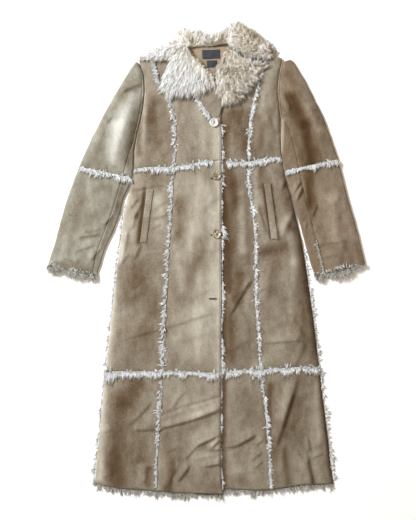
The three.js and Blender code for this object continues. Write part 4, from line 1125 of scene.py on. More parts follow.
@dataclass(frozen=True)
class Sleeve:
    """One sleeve, a tube pressed flat, in an upper and an under piece that are both cut at the elbow."""

    side: Side
    outer: SeamLine
    inner: SeamLine
    front_seam: SeamLine
    cap: tuple[float, float]
    elbow: tuple[float, float]
    cuff: tuple[float, float]
    creases: Table
    nap_and_shade: Table
    spacing: float = 3.4
    swell: float = 4.2
    crease_depth: float = 1.3
    seam_gap: float = 0.3
    elbow_gap: float = 0.4

    def rows(self, start: tuple[float, float], end: tuple[float, float], steps: Array) -> dict[str, Array]:
        """Works out the sleeve's rows between two pairs of heights.

        Args:
            start: The heights of the first row's outer and inner fold.
            end: Those of the last row.
            steps: Shares from the first row to the last.

        Returns:
            By name, for each row: the folds' points, the width, and how far the front and the back seam
            are from the outer fold.
        """
        outer_y = start[0] + (end[0] - start[0]) * steps
        inner_y = start[1] + (end[1] - start[1]) * steps
        outer = np.stack([self.outer.at(outer_y), outer_y], -1)
        inner = np.stack([self.inner.at(inner_y), inner_y], -1)
        width = np.linalg.norm(inner - outer, axis=-1)
        share = np.ones_like(width)
        for _ in range(20):
            y = outer_y + (inner_y - outer_y) * share
            share = (self.front_seam.at(y) - outer[:, 0]) / (inner[:, 0] - outer[:, 0])
        seam = np.minimum(share * width, width - FOLD_RADIUS - 1.5)
        back = np.maximum(FOLD_RADIUS + 0.5, 0.3 * width)
        return {"outer": outer, "inner": inner, "width": width, "seam": seam, "back": back}

    def top(self, x: Array, y: Array, share: Array) -> Array:
        """Shapes the sleeve's upper face.

        Args:
            x: Places across.
            y: Places along.
            share: How far each is on the way from the outer to the inner fold.

        Returns:
            Its height, in mm.
        """
        swell = self.swell * np.sin(math.pi * np.clip(share, 0, 1)) ** 0.7
        inside = smooth(0.0, 0.12, share) * smooth(0.0, 0.12, 1 - share)
        uneven = 0.5 * waves(x, y, 31, 150, 50) + 0.25 * waves(x, y, 32, 40, 18)
        return 2 * FOLD_RADIUS + swell + inside * (self.crease_depth * creased(self.creases, x, y) + uneven)

    def path(self, row: dict[str, Array], upper: bool, count: int) -> tuple[Array, Array, Array]:
        """Goes round a section of a piece from one seam to the other.

        Args:
            row: The rows that rows() worked out.
            upper: True for the piece round the outer fold, False for the one round the inner fold.
            count: How many points the top gets.

        Returns:
            Distance from the outer fold and share of the top reached, for each row and point, and the
            angle round the fold for each point.
        """
        width, seam, back = row["width"][:, None], row["seam"][:, None], row["back"][:, None]
        near, half = FOLD_RADIUS, self.seam_gap / 2
        bottom = shares_for(40, 5)[None, :]
        turn = np.linspace(0, math.pi, 9)[None, 1:-1]
        crown = shares_for(100, 100 / count, (1.0, 2.5))[None, :]
        if upper:
            low = back - half + (near - back + half) * bottom
            high = near + (seam - half - near) * crown
            arc = near * (1 - np.sin(turn)) + 0 * width
        else:
            low = back + half + (width - near - back - half) * bottom
            high = width - near + (seam + half - width + near) * crown
            arc = width - near * (1 - np.sin(turn))
        distance = np.concatenate([low, arc, high], 1)
        angle = np.concatenate([0 * bottom, turn, 0 * crown + math.pi], 1)
        return distance, distance / width, angle

    def place(self, row: dict[str, Array], distance: Array) -> tuple[Array, Array]:
        """Turns distances from the outer fold into places on the plan.

        Args:
            row: The rows that rows() worked out.
            distance: The distances, in mm.

        Returns:
            Their x and y.
        """
        share = (distance / row["width"][:, None])[..., None]
        spot = row["outer"][:, None, :] * (1 - share) + row["inner"][:, None, :] * share
        return spot[..., 0], spot[..., 1]

    def piece(self, start: tuple[float, float], end: tuple[float, float], upper: bool) -> tuple[Array, Array]:
        """Shapes one sleeve piece.

        Args:
            start: The heights of its first row's outer and inner fold.
            end: Those of its last row.
            upper: True for the piece round the outer fold, False for the one round the inner fold.

        Returns:
            Its outer and its inner face, as grids of points.
        """
        lean, far = 60.0, 99.0
        length = math.hypot(start[0] - end[0], lean)
        steps = shares_for(length, self.spacing)
        row = self.rows(start, end, steps)
        distance, share, angle = self.path(row, upper, 42 if upper else 14)
        x, y = self.place(row, distance)
        top = self.top(x, y, share)
        on_top = angle > math.pi - 1e-6
        on_arc = (angle > 1e-6) & ~on_top
        round_z = FOLD_RADIUS * (1 - np.cos(angle)) + 0 * x
        edge = (np.minimum(steps, 1 - steps) * length)[:, None]
        nearest = np.minimum(edge, np.where(on_top, np.abs(distance - row["seam"][:, None]), far))
        drop = 1.5 * np.exp(-nearest / 1.8)
        pucker = 0.3 * waves(x, y, 22, 15, 7) * np.exp(-nearest / 9)
        z = np.where(on_top, top - drop + pucker, np.where(on_arc, round_z, 0))
        wavy = np.where(on_arc, 1, 0) * 0.5 * waves(0 * x, y, 23, 60, 20) * np.sin(angle)
        away = ((row["outer"] - row["inner"]) / row["width"][:, None])[:, None, :]
        shift = wavy * (1 if upper else -1)
        outward = np.stack([x, y], -1) + shift[..., None] * away
        inset = np.where(on_arc, np.sin(angle) * (CLOTH - 0.3), 0) * (-1 if upper else 1)
        low = np.where(on_arc, FOLD_RADIUS * (1 - 0.15 * np.cos(angle)), CLOTH)
        low = np.where(on_top, z - CLOTH, low)
        inward = outward + inset[..., None] * away
        return np.concatenate([outward, z[..., None]], -1), np.concatenate([inward, low[..., None]], -1)

    def build(self, finishes: Finishes) -> None:
        """Makes the four pieces of the sleeve.

        Args:
            finishes: The coat's materials.
        """
        half = self.elbow_gap / 2
        above = (self.elbow[0] + half, self.elbow[1] + half)
        below = (self.elbow[0] - half, self.elbow[1] - half)
        # The right sleeve, nearer the lamp, gets the greyer lit copy and the left sleeve the browner shaded
        # copy, as painted light and shade.
        suede = finishes.lit_sleeve_suede if self.side is Side.RIGHT else finishes.shaded_sleeve_suede
        for part, start, end in (("upper", self.cap, above), ("lower", below, self.cuff)):
            for kind, upper in (("top", True), ("under", False)):
                node_name = f"{self.side.value}_sleeve_{kind}_{part}"
                outer, inner = self.piece(start, end, upper)
                # The sleeve's top gets strokes of brushing and of painted light and shade: painted highlights
                # on its lit folds and painted shade in its hollows.
                shown = strokes(self.nap_and_shade, outer[..., 0], outer[..., 1]) * smooth(2, 5, outer[..., 2])
                made = wall(f"suede_{node_name}", outer, inner, shown)
                dress(made, suede, "suede", node_name)

    def line_across(self, down: float, margin: float) -> Line:
        """Lays a line across the lower sleeve.

        Args:
            down: Share of the way from the elbow seam to the cuff.
            margin: Share of the width that it stays away from either fold.

        Returns:
            The points of the line by their share of its length.
        """

        def at(t: Array) -> Array:
            """Points of the line."""
            row = self.rows(self.elbow, self.cuff, 0 * t + down)
            share = (margin + (1 - 2 * margin) * t)[:, None]
            return row["outer"] * (1 - share) + row["inner"] * share

        return at

    def height_at(self, x: Array, y: Array) -> Array:
        """The height of the sleeve's upper face at places on the plan."""
        outer, inner = self.outer.at(y), self.inner.at(y)
        return self.top(x, y, np.clip((x - outer) / (inner - outer), 0, 1))

    def cuff_height(self, x: Array, y: Array) -> Array:
        """Works out what the cuff's fur lies on: the sleeve up to its end, and the floor beyond it.

        Args:
            x: Places across.
            y: Places along.

        Returns:
            Its height, in mm.
        """
        outer, inner = self.outer.at(np.array(self.cuff[0])), self.inner.at(np.array(self.cuff[1]))
        share = np.clip((x - outer) / (inner - outer), 0, 1)
        beyond = self.cuff[0] + (self.cuff[1] - self.cuff[0]) * share - y
        return self.height_at(x, y) * (1 - 0.9 * smooth(0.0, 9.0, beyond))


RIGHT_SLEEVE = Sleeve(
    Side.RIGHT,
    SeamLine.through(RIGHT_OUTER, 1, 7),
    SeamLine.through(RIGHT_INNER, 1, 5),
    SeamLine.through(RIGHT_FRONT_SEAM, 1, 7),
    cap=(515, 509),
    elbow=(242, 213),
    cuff=(-14, -41),
    creases=RIGHT_SLEEVE_CREASES,
    nap_and_shade=RIGHT_SLEEVE_NAP_AND_SHADE,
)
LEFT_SLEEVE = Sleeve(
    Side.LEFT,
    SeamLine.through(LEFT_OUTER, 1, 7),
    SeamLine.through(LEFT_INNER, 1, 5),
    SeamLine.through(LEFT_FRONT_SEAM, 1, 7),
    cap=(520, 512),
    elbow=(261, 230),
    cuff=(-11, -40),
    creases=LEFT_SLEEVE_CREASES,
    nap_and_shade=LEFT_SLEEVE_NAP_AND_SHADE,
)


# Fur


@dataclass
class Locks:
    """Many strands of fur, as arrays with one row for each strand, in mm."""

    root: Array
    direction: Array
    bend: Array
    length: Array
    width: Array
    tone: Array
    wave: Array
    phase: Array
    pile: Array

    @staticmethod
    def joined(groups: Sequence["Locks"]) -> "Locks":
        """Several sets of strands as one."""
        return Locks(*(np.concatenate([getattr(g, f) for g in groups]) for f in Locks.__dataclass_fields__))


def strand_mesh(locks: Locks, ground: Height, rings: int) -> tuple[Array, Array, Array, Array]:
    """Turns strands into closed three-sided tapering prisms.

    Args:
        locks: The strands.
        ground: The height that no strand sinks under.
        rings: How many rings of points a strand has below its tip.

    Returns:
        Points, triangles, the share along its strand of each point, and its tone.
    """
    count = len(locks.root)
    steps = np.linspace(0, 1, rings + 1) ** 0.9
    s = steps[None, :, None]
    up = np.array([0.0, 0.0, 1.0])
    level = np.cross(locks.direction, up)
    level /= np.linalg.norm(level, axis=1)[:, None] + 1e-9
    turn = 2 * math.pi * (1.1 * steps[None, :] + locks.phase[:, None])
    sway = (np.sin(turn) - np.sin(turn[:, :1])) * locks.wave[:, None] * steps[None, :] ** 0.6
    path = locks.direction[:, None] * s + locks.bend[:, None] * s**2 + level[:, None] * sway[..., None]
    centre = locks.root[:, None] + path * locks.length[:, None, None]
    low = ground(centre[..., 0], centre[..., 1]) + 0.3 + locks.pile[:, None] * np.minimum(1, steps * 3)
    centre[..., 2] = np.maximum(centre[..., 2], low)
    tangent = np.gradient(centre, axis=1)
    tangent /= np.linalg.norm(tangent, axis=2)[..., None] + 1e-9
    side = np.cross(tangent, up)
    side /= np.linalg.norm(side, axis=2)[..., None] + 1e-9
    over = np.cross(side, tangent)
    taper = (1 - steps**2.5) * (0.85 + 0.3 * np.sin(math.pi * steps))
    half = locks.width[:, None, None] / 2 * taper[None, :, None]
    corners = [centre + (side * math.cos(a) + over * math.sin(a)) * half for a in np.radians((90, 210, 330))]
    ring_points = np.stack(corners, 2)[:, :rings].reshape(count, rings * 3, 3)
    points = np.concatenate([ring_points, centre[:, -1:]], 1)
    faces = [[0, 1, 2]]
    for r in range(rings - 1):
        for c in range(3):
            a, b = r * 3 + c, r * 3 + (c + 1) % 3
            faces += [[a, a + 3, b], [b, a + 3, b + 3]]
    last = (rings - 1) * 3
    faces += [[last + c, rings * 3, last + (c + 1) % 3] for c in range(3)]
    per = rings * 3 + 1
    triangles = (np.array(faces)[None, :, ::-1] + (np.arange(count) * per)[:, None, None]).reshape(-1, 3)
    along = np.tile(np.append(np.repeat(steps[:-1], 3), 1.0), count)
    return points.reshape(-1, 3), triangles, along, np.repeat(locks.tone, per)


def unit(angle: Array) -> Array:
    """Level directions at angles in degrees, counted from +x towards +y."""
    turn = np.radians(angle)
    return np.stack([np.cos(turn), np.sin(turn), 0 * turn], -1)


@dataclass(frozen=True)
class Lay:
    """How a fur's locks are made up. Scatter, width and pile, the height of their roots, are in mm."""

    strands: int = 6
    scatter: float = 1.6
    width: float = 0.85
    rise: float = 18.0
    sag: float = 0.28
    curl: float = 0.08
    wave: float = 0.03
    pile: float = 1.4
    rings: int = 2


def clumped(
    rng: np.random.Generator, root: Array, angle: Array, length: Array, lay: Lay, tone: Array
) -> Locks:
    """Locks of several strands each, whose roots are scattered and whose tips meet.

    Args:
        rng: The source of chance.
        root: The middle of each lock's root.
        angle: The way each lock points, in degrees.
        length: Its length.
        lay: What the locks are like.
        tone: How light each lock is, from 0 to 1.

    Returns:
        The strands.
    """
    count = len(root)
    level = unit(angle)
    steep = np.radians(lay.rise + rng.normal(0, 9, count))[:, None]
    start = level * np.cos(steep) + np.array([0, 0, 1.0]) * np.sin(steep)
    sideways = np.cross(level, [0, 0, 1.0])
    bend = sideways * (rng.normal(0, lay.curl, count))[:, None] - np.array([0, 0, 1.0]) * lay.sag
    tip = root + length[:, None] * (start + bend)
    phase, wave = rng.random(count), lay.wave * rng.uniform(0.3, 1.7, count)
    pile = lay.pile * rng.random(count)
    groups = []
    for _ in range(lay.strands):
        spread = rng.normal(0, lay.scatter, (count, 3)) * np.array([1, 1, 0.2])
        own_root = root + spread
        own_tip = tip + rng.normal(0, lay.scatter * 0.5, (count, 3)) + spread * 0.25
        own_length = length * rng.uniform(0.72, 1.06, count)
        own_bend = bend * rng.uniform(0.6, 1.3, count)[:, None]
        direction = (own_tip - own_root) / length[:, None] - own_bend
        groups.append(
            Locks(
                own_root,
                direction,
                own_bend,
                own_length,
                lay.width * rng.uniform(0.7, 1.3, count),
                np.clip(tone + rng.normal(0, 0.13, count), 0, 1),
                wave,
                phase + rng.normal(0, 0.05, count),
                pile + 0.5 * rng.random(count),
            )
        )
    return Locks.joined(groups)


def fur_piece(
    name: str,
    locks: Locks,
    ground: Height,
    rings: int,
    bed: tuple[Array, Array],
    material: bpy.types.Material,
    stands: bool = True,
) -> None:
    """Makes a piece of fur from its locks and the short pile that they grow from.

    Args:
        name: The solid that it stands for.
        locks: Its strands.
        ground: What they lie on.
        rings: How many rings of points a strand has.
        bed: The upper and the lower grid of the short pile.
        material: Its fur.
        stands: Whether there is a solid of that name.
    """
    points, triangles, along, tone = strand_mesh(locks, ground, rings)
    bed_points, bed_faces = shell(*bed)
    faces = [triangles, *(f + len(points) for f in bed_faces)]
    along = np.concatenate([along, np.full(len(bed_points), 0.3)])
    tone = np.concatenate([tone, np.full(len(bed_points), 0.5)])
    points = np.concatenate([points, bed_points])
    made = mesh_object(f"fur_{name}", points, faces, {"along": along, "tone": tone})
    dress(made, material, "fur", *([name] if stands else []))


STRIP_LAY = Lay()
HANGING_LAY = Lay(strands=7, scatter=1.8, width=0.9, rise=14, sag=0.25, curl=0.05)
BORDER_LAY = Lay(strands=7, scatter=1.5, width=1.1, rise=9, sag=0.16, curl=0.12, pile=2.4)


@dataclass(frozen=True)
class FurStrip:
    """A strip of fur that is sewn into a seam or an edge and lies to one side of it."""

    node_name: str
    line: Line
    length_mm: float
    angle: float
    reach: float
    ground: Height
    seed: int
    lay: Lay = STRIP_LAY
    per_mm: float = 0.8
    spread: float = 24.0
    bed: tuple[float, float] = (-0.8, 5.0)
    bed_height: float = 1.3
    varied: tuple[float, float] = (0.5, 1.25)
    thin: Line | None = None
    over: float = 0.12
    finish: str = "seam_fur"
    stands: bool = True

    def share(self, t: Array) -> Array:
        """How full the strip is at a share of its length."""
        along = t * self.length_mm
        uneven = 0.92 + 0.42 * waves(along, 0 * along, self.seed + 100, 70, 11)
        return np.clip(uneven, 0.4, 1.5) * (1.0 if self.thin is None else self.thin(t))

    def build(self, finishes: Finishes) -> None:
        """Makes the strip.

        Args:
            finishes: The coat's materials.
        """
        rng = np.random.default_rng(self.seed)
        count = int(self.length_mm * self.per_mm)
        t = rng.random(count)
        full = self.share(t)
        out = unit(np.array([self.angle]))[0, :2]
        off = rng.uniform(0.1, 0.62, count) * self.bed[1] * np.minimum(1, full)
        spot = self.line(t) + out * off[:, None]
        root = np.stack([spot[:, 0], spot[:, 1], self.ground(spot[:, 0], spot[:, 1]) + 0.9], -1)
        length = self.reach * full * rng.uniform(*self.varied, count)
        angle = self.angle + rng.normal(0, self.spread, count)
        flip = rng.random(count) < self.over
        angle = np.where(flip, angle + 180 + rng.normal(0, 35, count), angle)
        length = np.where(flip, length * 0.6, length)
        locks = clumped(rng, root, angle, length, self.lay, rng.beta(3.2, 1.6, count))
        material = getattr(finishes, self.finish)
        fur_piece(self.node_name, locks, self.ground, self.lay.rings, self.pile_bed(), material, self.stands)

    def pile_bed(self) -> tuple[Array, Array]:
        """Shapes the short pile along the seam that the locks grow from.

        Returns:
            Its upper and its lower grid of points.
        """
        t = np.linspace(0.003, 0.997, max(8, int(self.length_mm / 5)))
        middle, full = self.line(t), np.minimum(self.share(t), 1.1)[:, None]
        out = unit(np.array([self.angle]))[0, :2]
        places = np.array([0, 0.12, 0.45, 0.8, 1.0])[None, :]
        across = self.bed[0] + (self.bed[1] * full - self.bed[0]) * places
        heights = self.bed_height * np.array([0.3, 0.95, 1.0, 0.7, 0.15])[None, :]
        x = middle[:, :1] + out[0] * across
        y = middle[:, 1:] + out[1] * across
        low = self.ground(x, y) + 0.2
        high = low + heights * np.minimum(full, 1) * (0.85 + 0.3 * waves(x, y, self.seed, 12, 5)) + 0.15
        return np.stack([x, y, high], -1), np.stack([x, y, low], -1)


def down_line(seam: SeamLine, low: float, high: float, offset: float = 0.0) -> Line:
    """Lays a line along a seam that runs down the coat.

    Args:
        seam: The seam.
        low: The height that the line starts at.
        high: The height that it ends at.
        offset: How far it lies to the seam's right.

    Returns:
        The points of the line by their share of its length.
    """

    def at(t: Array) -> Array:
        """Points of the line."""
        y = low + (high - low) * t
        return np.stack([seam.at(y) + offset, y], -1)

    return at


def across_line(seam: SeamLine, left: float, right: float, offset: float = 0.0) -> Line:
    """Lays a line along a seam that runs across the coat.

    Args:
        seam: The seam.
        left: The place across that the line starts at.
        right: The place that it ends at.
        offset: How far it lies above the seam.

    Returns:
        The points of the line by their share of its length.
    """

    def at(t: Array) -> Array:
        """Points of the line."""
        x = left + (right - left) * t
        return np.stack([x, seam.at(x) + offset], -1)

    return at


def knotted_line(*knots: tuple[float, float, float]) -> Line:
    """Lays a line through points, each given as its share of the length, its x and its y."""
    shares, xs, ys = zip(*knots)
    return lambda t: np.stack([np.interp(t, shares, xs), np.interp(t, shares, ys)], -1)


def floor_level(x: Array, y: Array) -> Array:
    """The surface that the coat lies on."""
    return 0.0 * x


@dataclass(frozen=True)
class SeamFur:
    """All the fur strips along seams and borders."""

    finishes: Finishes

    def build(self) -> None:
        """Makes each strip."""
        for strip in [*self.princess(), *self.cross(), *self.borders(), *self.sleeves(), *self.small()]:
            strip.build(self.finishes)

    def princess(self) -> list[FurStrip]:
        """Lays out the six strips down the princess seams.

        Returns:
            The strips.
        """

        def piping(t: Array) -> Array:
            """Thin below the creases, full above them."""
            return 0.42 + 0.58 * smooth(0.36, 0.44, t)

        def tapered(t: Array) -> Array:
            """Full down to the turned-back corner."""
            return 0.75 + 0.25 * smooth(0.05, 0.3, t)

        looks = dict(per_mm=0.75, spread=28, over=0.1, bed=(-0.8, 2.8), bed_height=0.9)
        right_spans = ((-592, -311), (-287, 226), (250, 424))
        left_spans = ((-588, -303), (-279, 236), (266, 462))
        strips = []
        for side, seam, ground, angle, offset, seed, lowest, spans in (
            ("right", RIGHT_PRINCESS, right_top, 230.0, 0.5, 11, piping, right_spans),
            ("left", LEFT_PRINCESS, left_top, -52.0, -0.5, 14, tapered, left_spans),
        ):
            for i, (low, high) in enumerate(spans):
                name = f"{side}_princess_fur_{ROW_NAMES[i]}"
                line = down_line(seam, low, high, offset)
                thin = lowest if i == 0 else None
                strip = FurStrip(name, line, high - low, angle, 15.0, ground, seed + i, thin=thin, **looks)
                strips.append(strip)
        return strips

    def cross(self) -> list[FurStrip]:
        """Lays out the waist and knee strips, which hang from their seams.

        Returns:
            The strips.
        """
        looks = dict(lay=HANGING_LAY, per_mm=1.15, spread=15, bed=(-0.8, 4.5), bed_height=1.0, over=0.09)
        rows = (
            ("right_waist_fur", RIGHT_ACROSS[2], -188, 14, right_top, 17.0, 31, -95),
            ("left_waist_fur", LEFT_ACROSS[2], 49, 188, left_top, 16.0, 32, -88),
            ("right_knee_fur", RIGHT_ACROSS[1], -263, 33, right_top, 24.0, 33, -92),
            ("left_knee_fur", LEFT_ACROSS[1], 47, 287, left_top, 20.0, 34, -86),
        )
        strips = []
        for name, seam, first, last, ground, reach, seed, angle in rows:
            line = across_line(seam, first, last, 0.5)
            strips.append(FurStrip(name, line, last - first, angle, reach, ground, seed, **looks))
        return strips

    def borders(self) -> list[FurStrip]:
        """Lays out the fur that comes out at the side seams and under the hem.

        Returns:
            The strips.
        """
        sides = dict(lay=BORDER_LAY, per_mm=0.45, spread=34.0, bed=(-6.0, 3.0), bed_height=3.0, over=0.0)
        hem = dict(sides, lay=HANGING_LAY, per_mm=1.0, spread=20.0, bed=(-5.0, 4.0))
        hem |= dict(varied=(0.25, 1.15), finish="border_fur")
        rows = (
            ("right_side_fur", down_line(RIGHT_SIDE, -574, 150), 724, 215.0, 12.5, 41, sides),
            ("left_side_fur", down_line(LEFT_SIDE, -576, 30), 606, -35.0, 12.5, 42, sides),
            ("right_hem_fur", across_line(RIGHT_ACROSS[0], -296, 37), 333, -92.0, 22.0, 43, hem),
            ("left_hem_fur", across_line(LEFT_ACROSS[0], 39, 326), 287, -90.0, 22.0, 44, hem),
        )
        return [
            FurStrip(name, line, length, angle, reach, floor_level, seed, **looks)
            for name, line, length, angle, reach, seed, looks in rows
        ]

    def sleeves(self) -> list[FurStrip]:
        """Lays out the elbow strips and the cuffs.

        Returns:
            The strips.
        """
        elbow_looks = dict(lay=HANGING_LAY, per_mm=1.1, spread=19, bed=(-0.8, 6.5), over=0.12)
        cuff_looks = dict(lay=HANGING_LAY, per_mm=1.9, spread=24, bed=(0.2, 4.5), bed_height=0.5, over=0.17)
        strips = []
        for seed, sleeve, lean, finish in (
            (51, RIGHT_SLEEVE, -99.0, "cuff_fur"),
            (61, LEFT_SLEEVE, -78.0, "border_fur"),
        ):
            side = sleeve.side.value
            elbow, cuff = sleeve.line_across(0.002, 0.02), sleeve.line_across(0.998, 0.01)
            looks = dict(cuff_looks, finish=finish)
            strips += [
                FurStrip(f"{side}_elbow_fur", elbow, 140, lean, 16, sleeve.height_at, seed, **elbow_looks),
                FurStrip(f"{side}_cuff_fur", cuff, 130, lean, 20, sleeve.cuff_height, seed + 1, **looks),
            ]
        return strips

    def small(self) -> list[FurStrip]:
        """Lays out tufts: the buttoned edge, the cuff vent, the right lapel's corner and under the collar.

        Returns:
            The strips.
        """

        def vent(t: Array) -> Array:
            """Points down the vent."""
            y = -32 + 84 * t
            return np.stack([LEFT_SLEEVE.front_seam.at(y) + 1, y], -1)

        def corner_level(x: Array, y: Array) -> Array:
            """The lapel's upper face."""
            return right_lapel_seat(x, y) + FACING + 0.2

        def patchy(t: Array) -> Array:
            """Thin below the knee, in tufts above it."""
            tufts = np.clip(0.65 + 0.95 * np.sin(t * 61) * np.sin(t * 23 + 1), 0.05, 1.5)
            return (0.4 + 0.6 * smooth(0.22, 0.32, t)) * tufts

        edge = down_line(FRONT_EDGE, -592, 352, 0.5)
        edge_looks = dict(per_mm=0.62, spread=22, thin=patchy, over=0.0, bed=(-1.0, 1.0), bed_height=0.5)
        vent_looks = dict(per_mm=0.9, spread=24, bed=(-0.8, 3.0), finish="cuff_fur")
        corner = knotted_line((0, 8, 371), (0.5, -9, 394), (1, -27, 418))
        corner_looks = dict(per_mm=1.3, spread=30, bed=(-0.8, 4.5))
        top_right = knotted_line((0, -126, 459), (1, -143, 525))
        right_looks = dict(per_mm=1.1, spread=34, over=0.2, stands=False)
        top_left = knotted_line((0, 132, 470), (0.6, 146, 507.2), (1, 150, 532))
        left_looks = dict(per_mm=1.0, spread=40, over=0.3, stands=False)
        return [
            FurStrip("front_edge_fur", edge, 944, -54.0, 17.0, left_top, 71, **edge_looks),
            FurStrip("left_cuff_vent_fur", vent, 90, 200.0, 6.0, LEFT_SLEEVE.height_at, 72, **vent_looks),
            FurStrip("right_lapel_edge_fur", corner, 60, 225.0, 10.0, corner_level, 73, **corner_looks),
            FurStrip("right_princess_fur_top", top_right, 68, 235.0, 10.0, right_top, 74, **right_looks),
            FurStrip("left_princess_fur_top", top_left, 66, 10.0, 9.0, left_top, 75, **left_looks),
        ]


@dataclass(frozen=True)
class PilePatch:
    """A thick patch of long pile on the collar or on a lapel.

    Its rows run across it. Each holds x and y at its first and second end, and the way that the locks
    lie at both.
    """

    node_name: str
    rows: Table
    base: Callable[[Array, Array, Array], Array]
    crown: float
    locks: int
    length: float
    seed: int
    lay: Lay
    margins: tuple[float, float] = (0.0, 0.0)
    ends: tuple[float, float] = (0.0, 0.0)
    fringe: tuple[float, float, int] | None = None
    turn: float = 12.0

    def at(self, t: Array, s: Array, inset: float = 1.0) -> tuple[Array, Array, Array]:
        """Place and lie of the pile.

        Args:
            t: Share of the way from the first row to the last.
            s: Share of the way across a row.
            inset: How much of the margins is kept free.

        Returns:
            The x, the y and the angle of the locks.
        """
        low, high = self.ends[0] * inset, self.ends[1] * inset
        place = (low + t * (1 - low - high)) * (len(self.rows) - 1)
        knots = np.arange(len(self.rows))
        x1, y1, x2, y2, angle1, angle2 = (np.interp(place, knots, column) for column in zip(*self.rows))
        width = np.hypot(x2 - x1, y2 - y1)
        first = np.minimum(self.margins[0] * inset / width, 0.3)
        second = np.minimum(self.margins[1] * inset / width, 0.6)
        share = first + s * (1 - first - second)
        return x1 + (x2 - x1) * share, y1 + (y2 - y1) * share, angle1 + (angle2 - angle1) * s

    def dome(self, x: Array, y: Array, t: Array, s: Array) -> Array:
        """Shapes the short pile under the locks.

        Args:
            x: Places across.
            y: Places along.
            t: Shares of the way from the first row to the last.
            s: Shares of the way across a row.

        Returns:
            Its height over each place, in mm.
        """
        edge = np.sin(math.pi * np.clip(s, 0, 1)) ** 0.5
        ends = np.clip(np.sin(math.pi * np.clip(0.03 + 0.94 * t, 0, 1)), 0, 1) ** 0.4
        lumps = 1 + 0.2 * waves(x, y, self.seed, 40, 15)
        return self.base(x, y, s) + 0.8 + self.crown * edge * ends * lumps

    def build(self, material: bpy.types.Material) -> None:
        """Makes the patch, and the fringe along its first edge where it has one.

        Args:
            material: Its fur.
        """
        rng = np.random.default_rng(self.seed)
        t, s = rng.random(self.locks), rng.random(self.locks)
        x, y, angle = self.at(t, s)
        root = np.stack([x, y, self.dome(x, y, t, s) - 0.8], -1)
        strayed = rng.normal(0, 4 + self.turn / 2, self.locks)
        angle = angle + self.turn * waves(x, y, self.seed + 1, 55, 22) + strayed
        length = self.length * rng.uniform(0.6, 1.12, self.locks)
        # Each lock's tone is random, plus the table's tan tint, painted shade and painted light.
        tone = np.clip(rng.beta(3.0, 1.8, self.locks) + strokes(PILE_TINT_AND_SHADE, x, y), 0, 1)
        groups = [clumped(rng, root, angle, length, self.lay, tone)]
        if self.fringe is not None:
            lean, reach, count = self.fringe
            t, s = rng.random(count), rng.uniform(0, 0.05, count)
            x, y, _ = self.at(t, s)
            root = np.stack([x, y, self.dome(x, y, t, s + 0.03)], -1)
            tone = rng.beta(1.6, 2.2, count)
            angle = lean + rng.normal(0, 26, count)
            groups.append(clumped(rng, root, angle, reach * rng.uniform(0.5, 1.1, count), self.lay, tone))
        grid_t, grid_s = np.meshgrid(np.linspace(0, 1, 40), np.linspace(0, 1, 24), indexing="ij")
        gx, gy, _ = self.at(grid_t, grid_s, 0.75)
        high = self.dome(gx, gy, grid_t, grid_s)
        low = np.minimum(self.base(gx, gy, grid_s), high - 0.6)
        bed = (np.stack([gx, gy, high], -1), np.stack([gx, gy, low], -1))
        fur_piece(self.node_name, Locks.joined(groups), self.under, self.lay.rings, bed, material)

    def under(self, x: Array, y: Array) -> Array:
        """What the tips of the locks come to rest on beyond the patch."""
        on_body = (y < SHOULDER_LINE.at(x) + 2) & (np.abs(x) < 186)
        return np.where(on_body, body_top(x, y), 0.2) + 0.3


def right_lapel_seat(x: Array, y: Array) -> Array:
    """Works out the right lapel's underside, which climbs towards the roll line.

    Args:
        x: Places across.
        y: Places along.

    Returns:
        Its height, in mm.
    """
    share = (x - RIGHT_PRINCESS.at(y)) / (FRONT_EDGE.at(y) - RIGHT_PRINCESS.at(y))
    low = LAYER + CLOTH + SEAT_LIFT
    return low + OVERLAP * np.clip((share - 0.2) / 0.25, 0, 1)


def left_lapel_seat(x: Array, y: Array) -> Array:
    """The height of the left lapel's underside."""
    return LAYER + CLOTH + 1.5 + 0 * x


def collar_level(x: Array, y: Array) -> Array:
    """The height of the undercollar's underside, low behind the neck and higher over the shoulders."""
    return np.interp(x, (-48, -30, 40, 68), (6.9, 3.7, 3.7, 6.9))


# Lapel facings and undercollar: x and y at the neck, x and y at the outer edge
RIGHT_FACING = (
    (28, 370, 12, 367), (37, 399, -6, 391), (38, 424, -25, 418), (35, 449, -98, 438),
    (11, 479, -106, 459), (-23, 506, -94, 489), (-57, 539, -82, 516),
)
LEFT_FACING = (
    (43, 405, 50, 403), (44, 430, 84, 428), (41, 452, 108, 455), (32, 469, 134, 479), (33, 489, 152, 497),
    (50, 519, 140, 508), (64, 543, 94, 520),
)
UNDERCOLLAR = (
    (-160, 520, -166, 537), (-130, 521, -136, 549), (-100, 523, -104, 560), (-76, 530, -75, 573),
    (-60, 546, -56, 572), (-48, 550, -41, 573), (-30, 553, -25, 575), (10, 554, 10, 575),
    (44, 559, 39, 579), (68, 562, 64, 588), (84, 546, 82, 590), (97, 530, 100, 574), (118, 526, 124, 563),
    (146, 526, 153, 552), (170, 527, 180, 543),
)


def table_grid(table: Table, down: Array, across: Array) -> tuple[Array, Array]:
    """A grid between the two edges that a table's rows join.

    Args:
        table: Rows of x and y at the first edge, then at the second.
        down: Shares from the first row to the last.
        across: Shares from the first edge to the second.

    Returns:
        The grid's x and y.
    """
    rows = np.array(table, float)
    knots = np.linspace(0, 1, len(rows))
    edge = np.stack([np.interp(down, knots, rows[:, k]) for k in range(4)], -1)
    x = edge[:, :1] * (1 - across) + edge[:, 2:3] * across
    y = edge[:, 1:2] * (1 - across) + edge[:, 3:4] * across
    return x, y


def edge_distance(down: Array, across: Array, length: float, width: float) -> Array:
    """Measures how far the points of a grid are from its nearest edge.

    Args:
        down: Shares from its first row to its last.
        across: Shares from its first edge to its second.
        length: Its length, in mm.
        width: Its width, in mm.

    Returns:
        The distances, as rows by columns.
    """
    aside = np.minimum(across, 1 - across)[None, :] * width
    return np.minimum(aside, np.minimum(down, 1 - down)[:, None] * length)


